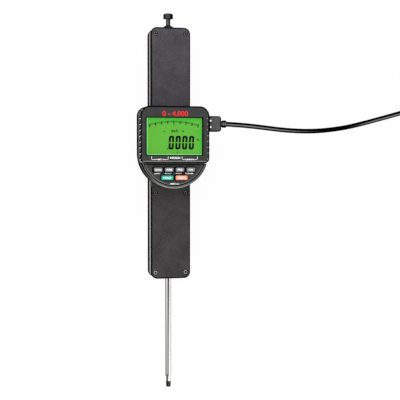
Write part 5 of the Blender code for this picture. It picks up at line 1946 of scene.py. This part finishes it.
@dataclass
class Keypad:
    """The tray below the display, its printed face and the six keys."""

    top: float = -10.1 * MM
    face_top: float = -11.0 * MM
    low: float = 30.325 * MM
    rim: float = 39.225 * MM
    panel: float = 38.225 * MM
    sink: float = 0.6 * MM
    round_steps: int = 180
    key_corner: float = 1.4 * MM
    key_gap: float = 0.2 * MM
    key_bevel: float = 0.35 * MM
    trim: float = 0.3 * MM
    word_height: float = 1.8 * MM
    word_weight: float = 0.04
    caption_height: float = 1.15 * MM
    caption_weight: float = 0.05
    caption_shift: Spot = (-0.85 * MM, -0.79 * MM)
    ring: Profile = (
        (0.0, 37.625), (32.0, 37.625), (32.0, 39.1), (32.1, 39.225), (33.4, 39.225), (34.25, 38.3),
        (34.4, 38.0), (34.4, 30.65), (34.08, 30.325), (32.2, 30.325), (32.2, 35.825), (0.0, 35.825),
    )
    plate: Profile = ((0.0, 37.6), (31.0, 37.6), (31.0, 37.85), (30.3, 38.225), (0.0, 38.225))

    def build(self) -> None:
        """Makes the tray, the face and the keys."""
        tray = paint(self.half_round("keypad_tray", self.ring, self.top), TRAY_SKIN)
        face = self.half_round("keypad_face", self.plate, self.face_top)
        # The recess floor is painted black as shade, and the rim's slope takes a painted highlight on its
        # lower edge
        give_faces(tray, SLOT_BLACK, face_at(self.panel - self.sink))
        give_faces(tray, ARC_SKIN, self.on_slope)
        dress(tray, TRAY_SKIN, "head", "dark_shell", "keypad_bezel")
        dress(face, PANEL_SKIN, "head", "dark_shell")
        for node, look in KEY_LOOKS.items():
            self.key(node, look)

    @staticmethod
    def on_slope(face: Any) -> bool:
        """Whether a face is on the sloped outside of the rim."""
        return 0.3 < face.normal.z < 0.9

    def half_round(self, name: str, profile: Profile, top: float) -> Object:
        """A round piece that ends below the display, with the key holes in it.

        Args:
            name: The piece's name.
            profile: Radius and height in millimetres.
            top: Y where it is cut off.

        Returns:
            The piece.
        """
        piece = turned(name, scaled(profile), (0, 0, 0), Along.UP, self.round_steps)
        cut_off(piece, top)
        carve(piece, self.holes())
        even(piece)
        return piece

    def room(self, node: str) -> tuple[Vector, Vector]:
        """A key's box, shorter where a caption stands below it.

        Args:
            node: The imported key.

        Returns:
            The box's lowest and highest corners.
        """
        low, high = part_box(node)
        if KEY_LOOKS[node].caption:
            low.y += self.trim
        return low, high

    def holes(self) -> Object:
        """One cutter for all the key holes.

        Returns:
            The cutter.
        """
        cutters = []
        gap = self.key_gap
        corners = (self.key_corner + gap,) * 4
        for node, look in KEY_LOOKS.items():
            low, high = self.room(node)
            bottom = (low.x - look.left_gap, low.y - gap, self.low)
            top = (high.x + gap, high.y + gap, self.rim)
            cutters.append(slab(f"{node}_hole", bottom, top, corners, corner_steps=6))
        return joined("key_holes", cutters)

    def key(self, node: str, look: KeyLook) -> None:
        """One key: a black tapered body with a printed top, its word and its caption.

        Args:
            node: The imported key, which is also its body.
            look: How it looks.
        """
        low, high = self.room(node)
        middle = (low + high) / 2
        size = high - low
        corners = (self.key_corner,) * 4
        body = slab(f"{node}_cap", low, (high.x, high.y, self.panel), corners, corner_steps=6)
        share = (1 - 2 * look.taper[0] / size.x, 1 - 2 * look.taper[1] / size.y, 1.0)
        with edit_mode(body):
            pick(body, Level.FACES, face_at(self.panel))
            bpy.ops.mesh.extrude_region_move(TRANSFORM_OT_translate={"value": (0, 0, high.z - self.panel)})
            bpy.ops.transform.resize(value=share, center_override=middle)
            bpy.ops.transform.translate(value=(*look.shift, 0))
            pick(body, Level.EDGES, rim_at(high.z))
            bpy.ops.mesh.bevel(offset=self.key_bevel, segments=3, affect="EDGES")
        even(body, ROUND_ANGLE)
        paint(body, KEY_BLACK)
        give_faces(body, look.finish, face_at(high.z))
        dress(body, KEY_BLACK, node, "black_plastic", node)
        spot = (middle.x + look.shift[0], middle.y + look.shift[1], high.z)
        wide = look.word_share * size.x
        word = lettered(f"{node}_word", look.word, spot, self.word_height, wide, self.word_weight)
        dress(word, INK_WHITE, node, "black_plastic")
        if look.caption:
            across, down = self.caption_shift
            spot = (middle.x + across, low.y + down, self.panel)
            sizes = (self.caption_height, look.caption_width, self.caption_weight)
            caption = lettered(f"{node}_caption", look.caption, spot, *sizes)
            # Captions in the near-white print, brighter than the keys' words to offset the keys' shade on
            # them: real print with painted light
            dress(caption, PALE_PRINT_AND_GLINT, "head", "dark_shell")


@dataclass
class Display:
    """The window, the lit cell behind it and what it shows, and the print round it."""

    cell: float = 40.225 * MM
    front: float = 43.48 * MM
    panel: float = 38.225 * MM
    pane_corner: float = 0.9 * MM
    pane_edge: float = 0.2 * MM
    cell_corner: float = 0.4 * MM
    cell_edge: float = 0.15 * MM
    digit_count: int = 4
    digit_width: float = 5.25 * MM
    digit_height: float = 13.5 * MM
    digit_pitch: float = 6.72 * MM
    first_digit: Spot = (-3.25 * MM, 10.6 * MM)
    bar: Spot = (2.05 * MM, 2.0 * MM)
    digit_corner: float = 1.9 * MM
    hole_corner: float = 0.5 * MM
    gap: float = 0.42 * MM
    slant: float = 0.05
    point: Spot = (1.1 * MM, 1.3 * MM)
    point_shift: float = 0.8 * MM
    point_corner: float = 0.3 * MM
    scale_radius: float = 87.0 * MM
    scale_top: float = 32.1 * MM
    scale_middle: float = -0.7 * MM
    scale_step: float = 0.825
    ticks_aside: int = 20
    major: Spot = (3.2 * MM, 0.48 * MM)
    minor: Spot = (1.8 * MM, 0.25 * MM)
    scale_nought: Word = Word("scale_nought", "0", 0.0, -4.3, 1.2, 1.0, 0.02)
    unit: Word = Word("unit_word", "inch", 0.2, 22.2, 3.2, 6.8, 0.02)
    minus: Sequence[Spot] = ((-11.1 * MM, 20.7 * MM), (-9.8 * MM, 21.7 * MM))
    signs: Sequence[Word] = (
        Word("more", ">", 8.6, 21.7, 2.4, 1.9, 0.03), Word("hold", "<", 23.2, 13.4, 2.2, 2.1, 0.06),
        Word("cell", "/", 2.9, 0.8, 2.1, 1.4, 0.06),
    )
    measures: Word = Word("range_print", "0 - 4.000", 0.0, 38.9, 5.2, 25.5, 0.03)
    brackets: Sequence[tuple[float, float, float]] = ((-23.7, -6.8, 2.4), (6.7, 22.4, 4.6))
    bracket_levels: Spot = (-6.1 * MM, -2.9 * MM)
    bracket_line: float = 0.42 * MM
    words: Sequence[Word] = (
        Word("set_word", "SET", -15.4, -5.9, 1.2, 4.2), Word("limits_word", "LIMITS", 14.5, -5.9, 1.2, 8.4),
        Word("hold_word", "HOLD", 0.0, -4.3, 1.9, 10.0),
    )
    resolution: Word = Word("resolution_word", ".0001 in", 0.0, -29.8, 1.4, 8.8)

    def build(self) -> None:
        """Makes the display and its print."""
        low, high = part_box("display_window")
        edge = self.pane_edge
        low.y += edge
        high.x -= edge
        pane = slab("window_pane", low, high, (self.pane_corner,) * 4, edge, edge)
        even(pane)
        dress(pane, GLASS, "head", "clear_glass", "display_window")
        edge = self.cell_edge
        corners = (self.cell_corner,) * 4
        cell = slab("crystal_cell", *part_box("lcd_panel"), corners, edge, edge, corner_steps=3)
        even(cell)
        dress(cell, CELL, "head", "lcd_green", "lcd_panel")
        self.digits()
        self.scale()
        self.marks()
        self.print_round()

    def digits(self) -> None:
        """Four noughts behind a decimal point."""
        master = self.nought()
        x, y = self.first_digit
        for number in range(self.digit_count):
            piece = duplicate(master, f"digit_{number + 1}", (x + number * self.digit_pitch, y, self.cell))
            dress(piece, INK_BLACK, "head", "lcd_green")
        scrap(master)
        left, foot = x - self.digit_pitch / 2 - self.point_shift, y - self.digit_height / 2
        wide, tall = self.point
        point = stroke("digit_point", (left, foot), (left + wide, foot + tall), self.cell, self.point_corner)
        dress(point, INK_BLACK, "head", "lcd_green")

    def nought(self) -> Object:
        """One slanted nought about the origin, parted in the middle.

        Returns:
            The nought.
        """
        half, tall, gap = self.digit_width / 2, self.digit_height / 2, self.gap
        side, level = self.bar
        made = stroke("nought", (-half, -tall), (half, tall), 0.0, self.digit_corner, steps=6)
        low, high = (side - half, level - tall, -MM), (half - side, tall - level, MM)
        hole = slab("hole", low, high, (self.hole_corner,) * 4)
        slit = slab("slit", (-2 * half, -gap, -MM), (2 * half, gap, MM))
        carve(made, hole, slit)
        made.data.transform(Matrix(((1, self.slant, 0, 0), (0, 1, 0, 0), (0, 0, 1, 0), (0, 0, 0, 1))))
        return made

    def scale(self) -> None:
        """The curved scale of ticks near the top, with the mark below its middle."""
        marks = []
        step = math.radians(self.scale_step)
        for number in range(-self.ticks_aside, self.ticks_aside + 1):
            tall, half = self.major if number % 5 == 0 else self.minor
            tick = stroke(f"tick_{number}", (-half, -tall), (half, 0.0), 0.0)
            self.on_arc(tick, -number * step)
            marks.append(tick)
        nought = self.scale_nought.mesh(0.0)
        self.on_arc(nought, 0.0)
        dress(joined("scale_ticks", [*marks, nought]), INK_FAINT, "head", "lcd_green")

    def on_arc(self, piece: Object, angle: float) -> None:
        """Moves a mark from the origin to its place on the scale's arc.

        Args:
            piece: The mark.
            angle: Its angle from the scale's middle.
        """
        centre = Matrix.Translation((self.scale_middle, self.scale_top - self.scale_radius, self.cell))
        arm = Matrix.Translation((0, self.scale_radius, 0))
        piece.data.transform(centre @ Matrix.Rotation(angle, 4, "Z") @ arm)

    def marks(self) -> None:
        """The unit and the small signs round the number."""
        unit = self.unit.mesh(self.cell)
        signs = [stroke("minus", *self.minus, self.cell), *(sign.mesh(self.cell) for sign in self.signs)]
        dress(unit, INK_BLACK, "head", "lcd_green")
        dress(joined("display_signs", signs), INK_BLACK, "head", "lcd_green")

    def print_round(self) -> None:
        """The red range above the window, and the white brackets and words below it."""
        dress(self.measures.mesh(self.front), INK_RED, "head", "dark_shell")
        bars = []
        foot, head = self.bracket_levels
        line = self.bracket_line
        for number, sizes in enumerate(self.brackets):
            left, right, gap = (size * MM for size in sizes)
            middle = (left + right) / 2
            strokes = {
                "left": ((left, foot), (left + line, head)),
                "right": ((right - line, foot), (right, head)),
                "foot": ((left, foot), (middle - gap, foot + line)),
                "foot_2": ((middle + gap, foot), (right, foot + line)),
            }
            bars += [stroke(f"bracket_{number}_{end}", *spots, self.front) for end, spots in strokes.items()]
        dress(joined("bracket_print", bars), INK_WHITE, "head", "dark_shell")
        for word in self.words:
            dress(word.mesh(self.front), INK_WHITE, "head", "dark_shell")
        dress(self.resolution.mesh(self.panel), INK_WHITE, "head", "dark_shell")


@dataclass
class InnerPieces:
    """What sits inside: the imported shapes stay, with their finishes."""

    def build(self) -> None:
        """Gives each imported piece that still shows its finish."""
        finishes = {
            "lower_bushing": BRONZE, "stop_bumper": RUBBER, "guide_rod": BRIGHT_STEEL, "reader_board": BOARD,
            "friction_washer": RUBBER, "retaining_ring": BRIGHT_STEEL, "drum_pin": BRIGHT_STEEL,
            "scale_carrier": ALUMINIUM, "scale_strip": GLASS, "carrier_screw_1": SCREW_STEEL,
            "carrier_screw_2": SCREW_STEEL, "spring_band": BRIGHT_STEEL, "spring_drum": ALUMINIUM,
            "output_socket": CAP_BLACK, "backlight": DIFFUSER, "main_board": BOARD,
            "battery_cell": BRIGHT_STEEL, "keypad_mat": RUBBER,
        }
        for node, finish in finishes.items():
            piece = bpy.data.objects[node]
            piece.data.materials.clear()
            paint(piece, finish)
            LOG.info("%s: %s", node, finish.name)


def main() -> None:
    """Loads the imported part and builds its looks."""
    logging.basicConfig(level=logging.INFO, format="%(message)s")
    scrap(*bpy.data.objects)
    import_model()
    assemblies = (
        Studio(), OutputCable(), Column(), SpindleGear(), HeadShells(), Keypad(), Display(), Screws(),
        InnerPieces(),
    )
    for assembly in assemblies:
        assembly.build()


if __name__ == "__main__":
    main()
